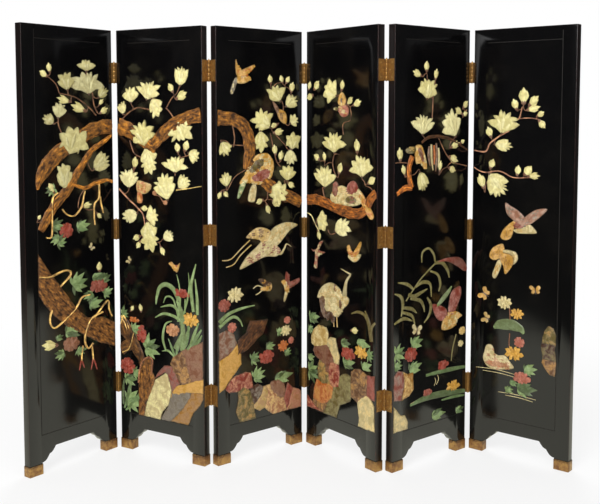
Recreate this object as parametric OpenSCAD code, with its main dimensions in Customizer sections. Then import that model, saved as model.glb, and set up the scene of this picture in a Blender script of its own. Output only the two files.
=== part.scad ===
// Six panel lacquer folding screen with carved stone relief.
// Millimetres. +Z is up, the decorated side faces -Y, and panel 1 is the leftmost.
// The origin is on the floor, in the middle of the standing screen's outline.
// Each panel is drawn flat: x runs from its left end, y from its front face to
// its back face, and z from the floor. Then it is turned and moved into the zigzag.

/* [Panels] */
// Width of one panel, end to end
panel_w = 457; // [420:1:500]
// Height of the screen, from the floor to the top edge
panel_h = 1829; // [1700:1:1950]
// Thickness of a panel
panel_t = 36; // [32:1:42]
// Width of the two upright stiles of a panel, and of their feet
stile_w = 62; // [54:1:68]
// Height of the top rail
top_rail_h = 58; // [40:1:80]
// Height of the field board's lower edge above the floor
board_z = 163; // [150:1:180]

/* [Apron] */
// Height of the straight middle of the apron's lower edge
arch_z = 102; // [85:1:115]
// Height at which the apron's curve starts beside a foot
arch_start_z = 47; // [44:1:60]
// Flat step between a foot and the start of the curve
arch_step = 5; // [4:1:20]
// Length of the curve, along the panel
arch_run = 63; // [40:1:90]
// How far each of the curve's two lobes swells below a straight slope
arch_swell = 6; // [2:0.5:8]
// Straight pieces that the curve is drawn with
arch_steps = 12; // [8:4:24]

/* [Joinery] */
// Length of a rail's tenon
tenon_l = 32; // [20:1:40]
// Thickness of the tenons and of the board's tongue
tenon_t = 12; // [8:1:14]
// Shoulder above and below a tenon
tenon_shoulder = 10; // [6:1:14]
// Depth of the board's tongue in the frame
tongue_l = 9; // [6:1:12]
// Free space round a tenon or a tongue
wood_fit = 0.1; // [0.05:0.05:0.3]
// Width of the scratched line where the frame meets the board
line_w = 3; // [2:0.5:4]
// Depth of the scratched line
line_d = 1.6; // [1:0.2:2.4]

/* [Foot caps] */
// Height of a brass foot cap
cap_h = 43; // [30:1:44]
// Wall and floor thickness of a foot cap
cap_wall = 2; // [1.5:0.1:2.4]
// Free space between a foot and the wall of its cap
cap_fit = 0.2; // [0.1:0.05:0.4]

/* [Hinges] */
// Gap between the ends of two panels when they stand in line
end_gap = 10; // [9:0.5:12]
// Distance of a front hinge pin from the front faces
front_reach = 10; // [9:0.5:12]
// Distance of a back hinge pin from the back faces
back_reach = 6; // [6:0.5:9]
// Height of a hinge
hinge_h = 88; // [70:1:110]
// Height of the middle hinge's centre above the floor
hinge_mid_z = 972; // [900:1:1050]
// Distance between two hinges, centre to centre
hinge_pitch = 676; // [600:1:700]
// Thickness of a hinge leaf
leaf_t = 2; // [1.5:0.1:2.5]
// Width of a hinge leaf on the panel's end
leaf_w = 33; // [28:1:34]
// Free gap between a leaf's plate and the other leaf's knuckles
leaf_clear = 0.3; // [0.2:0.1:0.6]
// Free gap between two knuckles
knuckle_gap = 0.2; // [0.1:0.05:0.4]
// Radius of a hinge pin
pin_r = 2; // [1.6:0.1:2.4]
// Free space between a pin and its knuckles
pin_fit = 0.05; // [0.03:0.01:0.08]
// Radius of a pin's head
pin_head_r = 3.4; // [2.8:0.1:4.2]
// Height of a pin's head
pin_head_h = 5; // [3:0.5:7]
// Length of a pin below its lowest knuckle
pin_tail = 2; // [1:0.5:4]

/* [Screws] */
// Length of a screw, with its head
screw_l = 24; // [16:1:30]
// Radius of a screw's shank
screw_r = 1.9; // [1.5:0.1:2.2]
// Radius of a screw's head
screw_head_r = 3.8; // [3.4:0.1:4.4]
// Free space round a screw
screw_fit = 0.05; // [0.03:0.01:0.1]
// Distance between two screws up the leaf
screw_pitch = 29; // [22:1:33]
// How far the outer screws stand off the leaf's middle line
screw_stagger = 5; // [0:0.5:7]

/* [Standing angles] */
// Turn of each panel from the screen's length, seen from above
turn_1 = 52; // [45:1:60]
turn_2 = -31; // [-38:1:-24]
turn_3 = 40; // [33:1:47]
turn_4 = -52; // [-60:1:-45]
turn_5 = 40; // [33:1:47]
turn_6 = -39; // [-46:1:-32]

/* [Stone relief] */
// Height of the stone relief above the lacquer
relief_h = 4; // [3:0.5:6]
// Petals round a magnolia flower
bloom_lobes = 7; // [5:1:9]
// Depth of the notches between petals, as a share of the flower
bloom_notch = 0.3; // [0.15:0.05:0.4]
// Petals round a peony
peony_lobes = 9; // [7:1:11]
// Depth of the notches round a peony
peony_notch = 0.12; // [0.05:0.01:0.2]
// Points round a cut leaf
leaf_lobes = 6; // [5:1:8]
// Depth of the notches in a cut leaf
leaf_notch = 0.42; // [0.3:0.02:0.5]

/* [Hidden] */
$fn = 32;
half_gap = end_gap/2;
knuckle_r = half_gap;
knuckles = 5;
knuckle_step = hinge_h/knuckles;
hinge_z = [hinge_mid_z - hinge_pitch, hinge_mid_z, hinge_mid_z + hinge_pitch];
top_rail_z = panel_h - top_rail_h;
inner_w = panel_w - 2*stile_w;
cap_out = cap_wall + cap_fit;
turns = [turn_1, turn_2, turn_3, turn_4, turn_5, turn_6];
last = len(turns);
screw_spots = [[-screw_pitch, -screw_stagger], [0, screw_stagger], [screw_pitch, -screw_stagger]];

// The relief was drawn on a board this wide and between these heights.
// The drawing is stretched to the board's own size.
draw_w = 457;
draw_low = 163;
draw_high = 1771;
draw_kx = panel_w/draw_w;
draw_kz = (top_rail_z - board_z)/(draw_high - draw_low);

lacquer = [0.04, 0.04, 0.05];
brass = [0.7, 0.5, 0.28];
screw_brass = [0.6, 0.48, 0.26];
stone = [0.88, 0.84, 0.66];

// Where the panels stand

function along(a) = [cos(a), sin(a)];
function backwards(a) = [-sin(a), cos(a)];
function place(start, a, p) = start + p[0]*along(a) + p[1]*backwards(a);
// Odd joints have their pin in front of the panels, even ones behind them.
function is_front(joint) = joint % 2 == 1;
function pin_y(joint) = is_front(joint) ? -front_reach : panel_t + back_reach;
function start_of(n) = n == 1 ? [0, 0]
    : place(pin_of(n - 1), turns[n - 1], [half_gap, -pin_y(n - 1)]);
function pin_of(joint) = place(start_of(joint), turns[joint - 1], [panel_w + half_gap, pin_y(joint)]);
cap_corners = [
    for (n = [1:last], x = [-cap_out, panel_w + cap_out], y = [-cap_out, panel_t + cap_out])
        place(start_of(n), turns[n - 1], [x, y])
];
xs = [for (p = cap_corners) p[0]];
ys = [for (p = cap_corners) p[1]];
middle = [(min(xs) + max(xs))/2, (min(ys) + max(ys))/2];

module at_panel(n) {
    start = start_of(n) - middle;
    translate([start[0], start[1], 0]) rotate([0, 0, turns[n - 1]]) children();
}

// Draws for the left end of a panel, or mirrored for its right end.
module at_end(right) {
    if (right) translate([panel_w, 0, 0]) mirror([1, 0, 0]) children();
    else children();
}

// The joint at an end of panel n, or 0 where the end is free
function joint_at(n, right) = right ? (n < last ? n : 0) : n - 1;

// Frame

module tongue_slot(x, z, w, h) {
    translate([x, (panel_t - tenon_t)/2 - wood_fit, z]) cube([w, tenon_t + 2*wood_fit, h]);
}

module screw_hole(joint, z, spot) {
    y = spot[1] + (is_front(joint) ? leaf_w/2 : panel_t - leaf_w/2);
    translate([-1, y, z + spot[0]]) rotate([0, 90, 0])
        cylinder(r = screw_r + screw_fit, h = screw_l - leaf_t + 1 + screw_fit);
}

module stile(n, right, lined) {
    joint = joint_at(n, right);
    at_end(right) difference() {
        translate([0, 0, cap_wall]) cube([stile_w, panel_t, panel_h - cap_wall]);
        tongue_slot(stile_w - tongue_l - wood_fit, board_z - tongue_l - wood_fit, tongue_l + 1,
            top_rail_z - board_z + 2*tongue_l + 2*wood_fit);
        tongue_slot(stile_w - tenon_l - wood_fit, top_rail_z + tenon_shoulder - wood_fit, tenon_l + 1,
            top_rail_h - 2*tenon_shoulder + 2*wood_fit);
        tongue_slot(stile_w - tenon_l - wood_fit, arch_z + tenon_shoulder - wood_fit, tenon_l + 1,
            board_z - arch_z - 2*tenon_shoulder + 2*wood_fit);
        if (lined)
            for (y = [-1, panel_t - line_d])
                translate([stile_w - line_w, y, board_z]) cube([line_w + 1, line_d + 1, panel_h]);
        if (joint > 0)
            for (z = hinge_z, spot = screw_spots) screw_hole(joint, z, spot);
    }
}

module left_stile(n) {
    color(lacquer) stile(n, false, n == 1);
}

module right_stile(n) {
    color(lacquer) stile(n, true, n == last);
}

module top_rail() {
    color(lacquer) difference() {
        union() {
            translate([stile_w, 0, top_rail_z]) cube([inner_w, panel_t, top_rail_h]);
            translate([stile_w - tenon_l, (panel_t - tenon_t)/2, top_rail_z + tenon_shoulder])
                cube([inner_w + 2*tenon_l, tenon_t, top_rail_h - 2*tenon_shoulder]);
        }
        tongue_slot(stile_w - 1, top_rail_z - 1, inner_w + 2, tongue_l + 1 + wood_fit);
        for (y = [-1, panel_t - line_d])
            translate([stile_w - 1, y, top_rail_z - 1]) cube([inner_w + 2, line_d + 1, line_w + 1]);
    }
}

// Height of the apron's curve at a share s of its run: two lobes that meet in a cusp
function arch_at(s) = arch_start_z + (arch_z - arch_start_z)*s - arch_swell*abs(sin(360*s));
function arch_side(s) = [stile_w + arch_step + arch_run*s, arch_at(s)];

module apron_outline() {
    curve = [for (i = [0:arch_steps]) arch_side(i/arch_steps)];
    polygon(concat(
        [[stile_w, board_z], [stile_w, arch_start_z]], curve,
        [for (i = [arch_steps:-1:0]) [panel_w - curve[i][0], curve[i][1]]],
        [[panel_w - stile_w, arch_start_z], [panel_w - stile_w, board_z]]));
}

module apron_rail() {
    color(lacquer) difference() {
        union() {
            translate([0, panel_t, 0]) rotate([90, 0, 0]) linear_extrude(panel_t) apron_outline();
            translate([stile_w - tenon_l, (panel_t - tenon_t)/2, arch_z + tenon_shoulder])
                cube([inner_w + 2*tenon_l, tenon_t, board_z - arch_z - 2*tenon_shoulder]);
        }
        tongue_slot(stile_w - 1, board_z - tongue_l - wood_fit, inner_w + 2, tongue_l + 1 + wood_fit);
        for (y = [-1, panel_t - line_d])
            translate([stile_w - 1, y, board_z - line_w]) cube([inner_w + 2, line_d + 1, line_w + 1]);
    }
}

module field_board() {
    color(lacquer) {
        translate([stile_w, 0, board_z]) cube([inner_w, panel_t, top_rail_z - board_z]);
        translate([stile_w - tongue_l, (panel_t - tenon_t)/2, board_z - tongue_l])
            cube([inner_w + 2*tongue_l, tenon_t, top_rail_z - board_z + 2*tongue_l]);
    }
}

module foot_cap() {
    difference() {
        translate([-cap_out, -cap_out, 0]) cube([stile_w + 2*cap_out, panel_t + 2*cap_out, cap_h]);
        translate([-cap_fit, -cap_fit, cap_wall])
            cube([stile_w + 2*cap_fit, panel_t + 2*cap_fit, cap_h]);
    }
}

module foot_caps() {
    color(brass) for (right = [false, true]) at_end(right) foot_cap();
}

// Hinges, drawn for the left end of a panel: x runs outwards from the end when negative

// Turns a drawing made for a front hinge over, for a back hinge.
module hinge_side(joint) {
    if (is_front(joint)) children();
    else translate([0, panel_t, 0]) mirror([0, 1, 0]) children();
}

function reach(joint) = is_front(joint) ? front_reach : back_reach;

// The panel on a joint's left has the first, third and fifth knuckle.
function own_knuckles(right) = right ? [0:2:knuckles - 1] : [1:2:knuckles - 1];

module hinge_leaf(joint, right) {
    edge = -(reach(joint) - knuckle_r - leaf_clear);
    difference() {
        union() {
            translate([-leaf_t, edge, -hinge_h/2]) cube([leaf_t, leaf_w - edge, hinge_h]);
            for (k = own_knuckles(right)) {
                z = -hinge_h/2 + k*knuckle_step + knuckle_gap/2;
                translate([-half_gap, -reach(joint), z])
                    cylinder(r = knuckle_r, h = knuckle_step - knuckle_gap);
                translate([-leaf_t, -reach(joint), z])
                    cube([leaf_t, reach(joint) + edge + 1, knuckle_step - knuckle_gap]);
            }
        }
        translate([-half_gap, -reach(joint), -hinge_h])
            cylinder(r = pin_r + pin_fit, h = 2*hinge_h);
        for (spot = screw_spots)
            translate([0, leaf_w/2 + spot[1]*(is_front(joint) ? 1 : -1), spot[0]]) rotate([0, -90, 0]) {
                translate([0, 0, -1]) cylinder(r = screw_r + screw_fit, h = leaf_t + 2);
                cylinder(r1 = screw_r + screw_fit, r2 = screw_head_r + screw_fit, h = leaf_t);
                translate([0, 0, leaf_t]) cylinder(r = screw_head_r + screw_fit, h = 1);
            }
    }
}

module hinge_leaves(n) {
    color(brass) for (right = [false, true])
        if (joint_at(n, right) > 0)
            at_end(right) hinge_side(joint_at(n, right))
                for (z = hinge_z) translate([0, 0, z]) hinge_leaf(joint_at(n, right), right);
}

module screw(joint, z, spot) {
    y = spot[1] + (is_front(joint) ? leaf_w/2 : panel_t - leaf_w/2);
    translate([-leaf_t, y, z + spot[0]]) rotate([0, 90, 0]) {
        cylinder(r1 = screw_head_r, r2 = screw_r, h = leaf_t);
        cylinder(r = screw_r, h = screw_l);
    }
}

module hinge_screws(n) {
    color(screw_brass) for (right = [false, true])
        if (joint_at(n, right) > 0)
            at_end(right)
                for (z = hinge_z, spot = screw_spots) screw(joint_at(n, right), z, spot);
}

module hinge_pin() {
    translate([0, 0, -hinge_h/2 - pin_tail])
        cylinder(r = pin_r, h = hinge_h + pin_tail);
    translate([0, 0, hinge_h/2 - knuckle_gap/2]) rotate_extrude()
        polygon([[0, 0], [pin_head_r*0.8, 0], [pin_head_r, pin_head_h*0.2], [pin_head_r, pin_head_h*0.4],
            [pin_head_r*0.5, pin_head_h*0.6], [pin_head_r*0.6, pin_head_h*0.8], [0, pin_head_h]]);
}

module hinge_pins(joint) {
    centre = pin_of(joint) - middle;
    color(screw_brass) for (z = hinge_z) translate([centre[0], centre[1], z]) hinge_pin();
}

// Stone relief. Places are [x, z] on the drawing.

// Magnolia flowers: x, z, width, height, turn of the first petal
blooms = [
    [[320, 1674, 94, 52, 12], [215, 1605, 96, 74, 20], [327, 1600, 180, 92, 0], [403, 1563, 64, 54, 30],
     [176, 1487, 72, 66, 10], [127, 1450, 60, 50, 40], [242, 1361, 174, 112, 5], [390, 1265, 96, 100, 18],
     [196, 1218, 80, 114, 8]],
    [[350, 1626, 103, 78, 10], [78, 1553, 98, 68, 0], [177, 1570, 132, 78, 15], [216, 1500, 70, 96, 5],
     [30, 1498, 52, 56, 20], [143, 1388, 130, 106, 12], [340, 1405, 150, 100, 0], [413, 1302, 58, 66, 25],
     [315, 1261, 134, 68, 5], [174, 1271, 92, 128, 15], [62, 1195, 118, 84, 10], [260, 1168, 117, 118, 0],
     [357, 1188, 80, 62, 20], [67, 1032, 98, 58, 10], [188, 1039, 68, 86, 0], [174, 946, 94, 148, 12],
     [274, 960, 64, 52, 30]],
    [[314, 1560, 114, 74, 10], [393, 1526, 76, 62, 25], [238, 1447, 124, 90, 5], [231, 1354, 72, 98, 15],
     [410, 1443, 50, 58, 45], [404, 1354, 92, 76, 0], [390, 1285, 76, 70, 20], [376, 1216, 105, 68, 10],
     [325, 1132, 100, 112, 5], [42, 1330, 70, 66, 15], [45, 1202, 60, 62, 0]],
    [[162, 1571, 94, 106, 18], [186, 1350, 150, 86, 5], [127, 1202, 155, 92, 0], [362, 1257, 158, 90, 12],
     [110, 1008, 76, 100, 20], [241, 997, 117, 76, 8]],
    [[195, 1574, 132, 84, 5], [167, 1426, 140, 80, 15], [346, 1430, 130, 116, 0], [167, 1195, 72, 90, 20]],
    [[142, 1436, 138, 96, 10], [142, 1340, 82, 48, 0], [114, 1175, 102, 122, 20]]
];

// Buds: x, z, length, width, direction of the tip
buds = [
    [[131, 1658, 40, 24, 100], [103, 1633, 42, 28, 150], [395, 1522, 36, 14, 50], [410, 1486, 50, 24, 30],
     [200, 1530, 72, 24, 165], [275, 1497, 84, 30, 160], [131, 1171, 48, 34, 120], [69, 1056, 22, 20, 60],
     [310, 1087, 52, 20, 10], [375, 1039, 36, 18, -45], [372, 818, 42, 34, 90], [107, 526, 80, 34, 170]],
    [[297, 1580, 42, 30, 120], [353, 1547, 64, 34, 25], [329, 1332, 42, 30, 100], [374, 1340, 48, 36, 70],
     [98, 1264, 54, 32, 80], [147, 1070, 42, 24, 0], [102, 942, 44, 28, 200], [112, 911, 38, 24, 240],
     [243, 894, 42, 24, -60], [71, 629, 30, 18, 60], [119, 636, 36, 20, 100]],
    [[280, 1619, 38, 28, 100], [342, 1622, 34, 24, 110], [376, 1619, 34, 24, 60], [400, 1588, 46, 28, 80],
     [300, 1423, 36, 24, 200], [324, 1395, 56, 26, 10], [304, 1319, 46, 26, 100], [338, 1292, 46, 26, 80],
     [393, 1164, 46, 24, -30], [221, 1101, 42, 22, 200], [266, 1066, 46, 22, -70], [307, 1087, 42, 24, -40],
     [14, 1139, 34, 22, 240], [45, 1142, 34, 22, -50]],
    [[20, 1595, 38, 24, 70], [69, 1595, 50, 36, 50], [24, 1547, 46, 30, 200], [239, 1591, 44, 30, 80],
     [289, 1526, 46, 24, 40], [334, 1516, 54, 26, 20], [334, 1340, 58, 36, 95], [72, 1285, 42, 34, 150],
     [124, 1288, 42, 20, 95], [227, 1244, 50, 36, 70], [424, 1202, 52, 34, 30], [86, 946, 42, 26, -70],
     [324, 568, 46, 26, 10]],
    [[185, 1667, 44, 32, 90], [129, 1636, 56, 26, 160], [243, 1636, 46, 20, 80], [388, 1485, 50, 26, 150],
     [432, 1512, 42, 26, 45], [430, 1472, 34, 22, 20], [415, 1354, 26, 22, 30], [367, 1340, 62, 24, 20],
     [357, 1281, 62, 34, -20], [350, 1237, 46, 30, -20], [32, 1309, 56, 32, 95], [54, 1244, 46, 20, 110],
     [274, 1254, 46, 20, 80]],
    [[76, 1395, 50, 30, 110], [193, 1512, 50, 30, 110], [231, 1547, 70, 46, 90], [276, 1526, 58, 34, 45],
     [276, 1495, 62, 28, 15], [307, 1471, 38, 24, 30], [314, 1430, 44, 30, -50], [42, 1185, 66, 36, 110],
     [90, 1261, 44, 34, 70], [211, 1237, 44, 28, 80], [256, 1237, 52, 40, 50], [283, 1216, 56, 22, 5]]
];

// Peonies, lotus and garden flowers: x, z, width, height
peonies = [
    [[202, 991, 70, 66], [365, 736, 100, 58], [216, 512, 90, 66]],
    [[345, 722, 84, 38], [390, 615, 86, 62], [295, 560, 74, 56], [123, 523, 56, 80], [81, 581, 62, 24],
     [42, 372, 84, 76]],
    [[90, 715, 82, 64], [34, 677, 64, 56], [73, 578, 48, 46], [256, 423, 86, 62], [348, 457, 58, 50],
     [393, 475, 32, 32], [362, 523, 66, 46], [372, 568, 38, 32]],
    [[282, 461, 96, 56], [365, 485, 82, 58]],
    [[105, 478, 76, 62], [305, 399, 76, 40], [209, 297, 60, 30], [374, 296, 90, 46], [429, 530, 44, 36],
     [419, 475, 36, 30]],
    [[159, 670, 70, 56], [218, 629, 64, 46], [231, 509, 50, 46], [207, 457, 86, 60], [245, 358, 82, 52]]
];

// Cut leaves: x, z, width, height, turn of the first point
leaves = [
    [[155, 1014, 66, 54, 0], [282, 1001, 84, 46, 10], [172, 948, 60, 60, 30], [258, 763, 94, 84, 15],
     [365, 775, 104, 34, 0], [412, 702, 56, 46, 20], [340, 664, 80, 50, 10], [222, 566, 112, 56, 5],
     [152, 548, 44, 26, 20]],
    [[88, 537, 56, 60, 0], [172, 470, 96, 100, 15], [50, 313, 72, 52, 5], [68, 225, 96, 106, 20],
     [90, 345, 50, 60, 0], [26, 600, 40, 70, 10]],
    [[192, 427, 56, 56, 10], [273, 468, 58, 36, 0], [210, 352, 80, 66, 20], [340, 320, 128, 46, 5],
     [330, 523, 40, 40, 10], [372, 424, 46, 34, 15]],
    [[48, 578, 84, 48, 10], [30, 523, 50, 36, 0], [262, 502, 76, 36, 5], [282, 420, 100, 44, 15],
     [370, 520, 100, 34, 0], [420, 480, 40, 60, 10], [392, 430, 86, 34, 20], [48, 335, 92, 84, 5],
     [30, 395, 56, 30, 15]],
    [[132, 523, 76, 52, 10], [36, 492, 66, 70, 0], [125, 418, 104, 46, 15], [28, 440, 50, 40, 5],
     [270, 189, 100, 44, 0], [412, 182, 66, 28, 10]],
    [[180, 568, 142, 56, 0], [276, 399, 72, 46, 10], [259, 312, 110, 62, 5], [184, 296, 44, 34, 15],
     [205, 330, 50, 26, 0]]
];

// Trunks, branches, stems and long leaves: a list of [x, z, width] down the middle of each
branches = [
    [
        [[451, 1418, 64], [400, 1415, 62], [330, 1398, 62], [240, 1352, 60], [160, 1305, 66],
         [105, 1255, 66], [75, 1205, 40], [63, 1168, 8]],
        [[451, 1381, 12], [406, 1354, 22], [344, 1319, 26], [289, 1257, 32], [241, 1195, 40],
         [200, 1147, 44], [165, 1115, 44], [130, 1080, 42], [100, 1040, 46], [75, 1000, 30]],
        [[240, 1180, 14], [303, 1161, 16], [358, 1178, 18], [413, 1188, 16], [451, 1181, 14]],
        [[375, 1478, 10], [358, 1510, 8], [350, 1560, 7]],
        [[368, 1466, 9], [330, 1500, 8], [262, 1540, 7], [180, 1556, 6]],
        [[188, 1392, 8], [172, 1430, 7], [174, 1460, 6]],
        [[162, 1150, 6], [138, 1132, 6], [131, 1090, 6], [131, 1008, 6], [124, 970, 6], [103, 970, 6]],
        [[183, 1080, 6], [207, 1056, 6], [245, 1049, 6], [282, 1084, 6], [300, 1150, 6]],
        [[377, 1175, 7], [375, 1115, 7], [351, 1090, 6], [348, 1042, 6], [351, 1001, 5]],
        [[382, 1120, 6], [386, 1090, 6], [398, 1049, 5]],
        [[62, 815, 8], [114, 808, 8], [193, 825, 8], [220, 805, 8], [165, 760, 7]],
        [[121, 670, 7], [110, 629, 7], [124, 598, 7], [155, 600, 7], [241, 657, 7], [275, 698, 7],
         [317, 705, 6]],
        [[386, 619, 8], [324, 599, 8], [293, 550, 8], [289, 502, 8], [306, 475, 8], [331, 492, 7]],
        [[340, 600, 6], [413, 663, 6], [422, 625, 6], [438, 592, 6]],
        [[268, 500, 6], [264, 450, 6], [272, 385, 5]],
        [[318, 480, 6], [324, 430, 6], [342, 376, 5]]
    ],
    [
        [[6, 1420, 70], [60, 1405, 66], [130, 1370, 60], [190, 1335, 50], [215, 1325, 46]],
        [[190, 1330, 40], [240, 1378, 56], [300, 1420, 60], [370, 1450, 56], [451, 1470, 62]],
        [[30, 1450, 9], [70, 1480, 9], [115, 1498, 9], [170, 1492, 8], [215, 1480, 6]],
        [[270, 1497, 8], [292, 1478, 8], [310, 1455, 7]],
        [[275, 1500, 7], [300, 1535, 7], [330, 1560, 7], [345, 1590, 7]],
        [[70, 1360, 9], [85, 1320, 8], [100, 1300, 7], [140, 1285, 6]],
        [[6, 1148, 12], [60, 1105, 10], [110, 1070, 9], [140, 1040, 8], [150, 985, 8]],
        [[320, 1155, 6], [370, 1162, 6], [451, 1176, 4]],
        [[200, 1130, 7], [230, 1125, 6], [250, 1100, 5]],
        [[345, 1290, 6], [380, 1300, 6], [400, 1306, 5]],
        [[135, 980, 7], [136, 940, 6], [140, 925, 6]],
        [[330, 690, 24], [300, 735, 22], [260, 752, 20], [225, 735, 18], [210, 695, 14], [205, 662, 5]],
        [[345, 610, 16], [320, 650, 14], [285, 665, 12], [230, 652, 4]],
        [[350, 600, 16], [300, 620, 14], [245, 625, 12], [200, 604, 4]],
        [[405, 650, 16], [392, 745, 18], [402, 795, 14], [420, 852, 5]],
        [[425, 640, 16], [424, 710, 14], [415, 790, 5]],
        [[350, 590, 40], [340, 640, 26], [318, 690, 12]],
        [[360, 640, 8], [362, 700, 6]],
        [[255, 470, 8], [240, 520, 12], [255, 580, 10], [290, 598, 4]],
        [[310, 480, 30], [330, 520, 24], [348, 560, 8]],
        [[6, 440, 50], [60, 470, 50], [105, 440, 40]],
        [[8, 590, 8], [30, 560, 8], [45, 530, 7]]
    ],
    [
        [[6, 1456, 66], [73, 1453, 56], [130, 1428, 58], [162, 1380, 60], [170, 1320, 58],
         [160, 1270, 50], [152, 1240, 30]],
        [[170, 1270, 44], [220, 1215, 50], [270, 1170, 54], [340, 1128, 56], [400, 1108, 52],
         [451, 1082, 48]],
        [[80, 1430, 8], [92, 1370, 8], [85, 1335, 7]],
        [[70, 1345, 6], [110, 1342, 6], [150, 1340, 8]],
        [[345, 1525, 6], [352, 1500, 6], [345, 1470, 6]],
        [[290, 1400, 6], [330, 1365, 7], [360, 1340, 6]],
        [[280, 1390, 6], [310, 1280, 6], [335, 1245, 6]],
        [[265, 1150, 7], [262, 1110, 7], [240, 1100, 5]],
        [[169, 939, 6], [120, 905, 5], [70, 868, 5], [25, 866, 4]],
        [[176, 918, 6], [120, 880, 5], [85, 845, 5], [45, 836, 4]],
        [[307, 880, 14], [335, 866, 12], [355, 885, 9], [369, 905, 6], [395, 892, 2]],
        [[8, 606, 20], [52, 636, 16], [120, 652, 12], [192, 657, 4]],
        [[8, 588, 16], [75, 622, 14], [112, 605, 10], [128, 575, 4]],
        [[200, 700, 6], [225, 740, 16], [262, 730, 22], [270, 705, 8]]
    ],
    [
        [[6, 1094, 46], [70, 1100, 46], [138, 1090, 46], [241, 1066, 48], [340, 1062, 44],
         [390, 1085, 42], [420, 1130, 40], [451, 1155, 36]],
        [[248, 1386, 8], [246, 1430, 7], [290, 1444, 5]],
        [[178, 1265, 8], [190, 1300, 7], [222, 1302, 6]],
        [[338, 1312, 5], [332, 1290, 5]],
        [[6, 1037, 7], [34, 1028, 7], [55, 1001, 7], [88, 962, 6]],
        [[148, 975, 7], [165, 958, 7], [196, 965, 6]],
        [[112, 1155, 9], [118, 1130, 9], [130, 1100, 9]],
        [[296, 798, 8], [272, 770, 14], [262, 735, 22], [258, 705, 30]],
        [[300, 801, 8], [272, 808, 6], [235, 818, 2]],
        [[186, 610, 6], [190, 560, 6]],
        [[208, 608, 6], [212, 562, 6]],
        [[303, 636, 5], [344, 650, 12], [386, 643, 14], [413, 606, 8]],
        [[388, 662, 6], [405, 630, 18], [418, 590, 24], [428, 540, 20]],
        [[451, 622, 10], [430, 600, 14], [424, 570, 14]]
    ],
    [
        [[188, 1622, 6], [195, 1600, 6]],
        [[226, 1550, 9], [224, 1500, 9], [222, 1455, 9]],
        [[160, 1354, 10], [198, 1374, 14], [260, 1378, 14], [329, 1368, 12], [398, 1340, 9],
         [451, 1317, 7]],
        [[262, 1372, 6], [309, 1306, 6], [357, 1268, 7], [451, 1248, 6]],
        [[414, 1456, 6], [440, 1490, 6]],
        [[104, 1300, 26], [86, 1257, 26], [88, 1209, 26], [102, 1172, 28]],
        [[102, 1172, 26], [60, 1170, 24], [15, 1148, 18]],
        [[6, 1275, 6], [40, 1276, 6], [80, 1272, 6]],
        [[167, 856, 4], [171, 898, 10], [209, 911, 10], [240, 884, 11], [250, 849, 8]],
        [[250, 846, 14], [295, 842, 18], [329, 808, 16], [340, 774, 5]],
        [[219, 815, 8], [267, 794, 12], [284, 753, 14], [274, 722, 4]],
        [[74, 705, 6], [123, 753, 6], [171, 794, 7], [247, 842, 8]],
        [[26, 787, 5], [81, 774, 15], [120, 748, 10]],
        [[129, 756, 8], [171, 772, 16], [219, 760, 14], [228, 705, 4]],
        [[8, 743, 5], [44, 727, 16], [56, 695, 16], [47, 645, 6]],
        [[88, 732, 12], [123, 719, 18], [165, 730, 14], [202, 741, 5]],
        [[100, 712, 10], [157, 698, 16], [180, 670, 12], [186, 645, 4]],
        [[55, 680, 12], [109, 668, 16], [138, 648, 5]],
        [[50, 662, 12], [109, 640, 14], [128, 602, 5]],
        [[6, 618, 8], [61, 634, 16], [112, 618, 5]],
        [[202, 705, 8], [226, 670, 16], [216, 629, 12], [185, 600, 5]],
        [[267, 849, 6], [330, 852, 18], [400, 835, 40], [440, 808, 34], [451, 796, 20]],
        [[256, 655, 8], [300, 685, 24], [335, 712, 20], [356, 734, 5]],
        [[200, 372, 12], [329, 372, 20], [451, 366, 14]],
        [[104, 262, 10], [200, 275, 26], [320, 272, 30], [451, 258, 18]],
        [[300, 246, 6], [380, 246, 14], [448, 240, 8]],
        [[390, 520, 6], [368, 460, 7], [360, 408, 5]]
    ],
    [
        [[6, 1316, 9], [59, 1312, 10], [80, 1347, 10], [128, 1381, 9], [169, 1400, 6]],
        [[225, 1500, 7], [215, 1460, 7], [205, 1448, 7]],
        [[205, 1452, 6], [260, 1455, 6], [300, 1450, 5]],
        [[6, 1242, 7], [52, 1223, 7], [128, 1230, 7], [190, 1206, 7], [273, 1209, 5]],
        [[184, 650, 5], [186, 600, 5]],
        [[186, 540, 5], [184, 490, 5], [196, 470, 5]],
        [[28, 362, 4], [120, 365, 5], [215, 362, 4]],
        [[136, 272, 4], [220, 274, 5], [310, 271, 4]]
    ]
];

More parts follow.
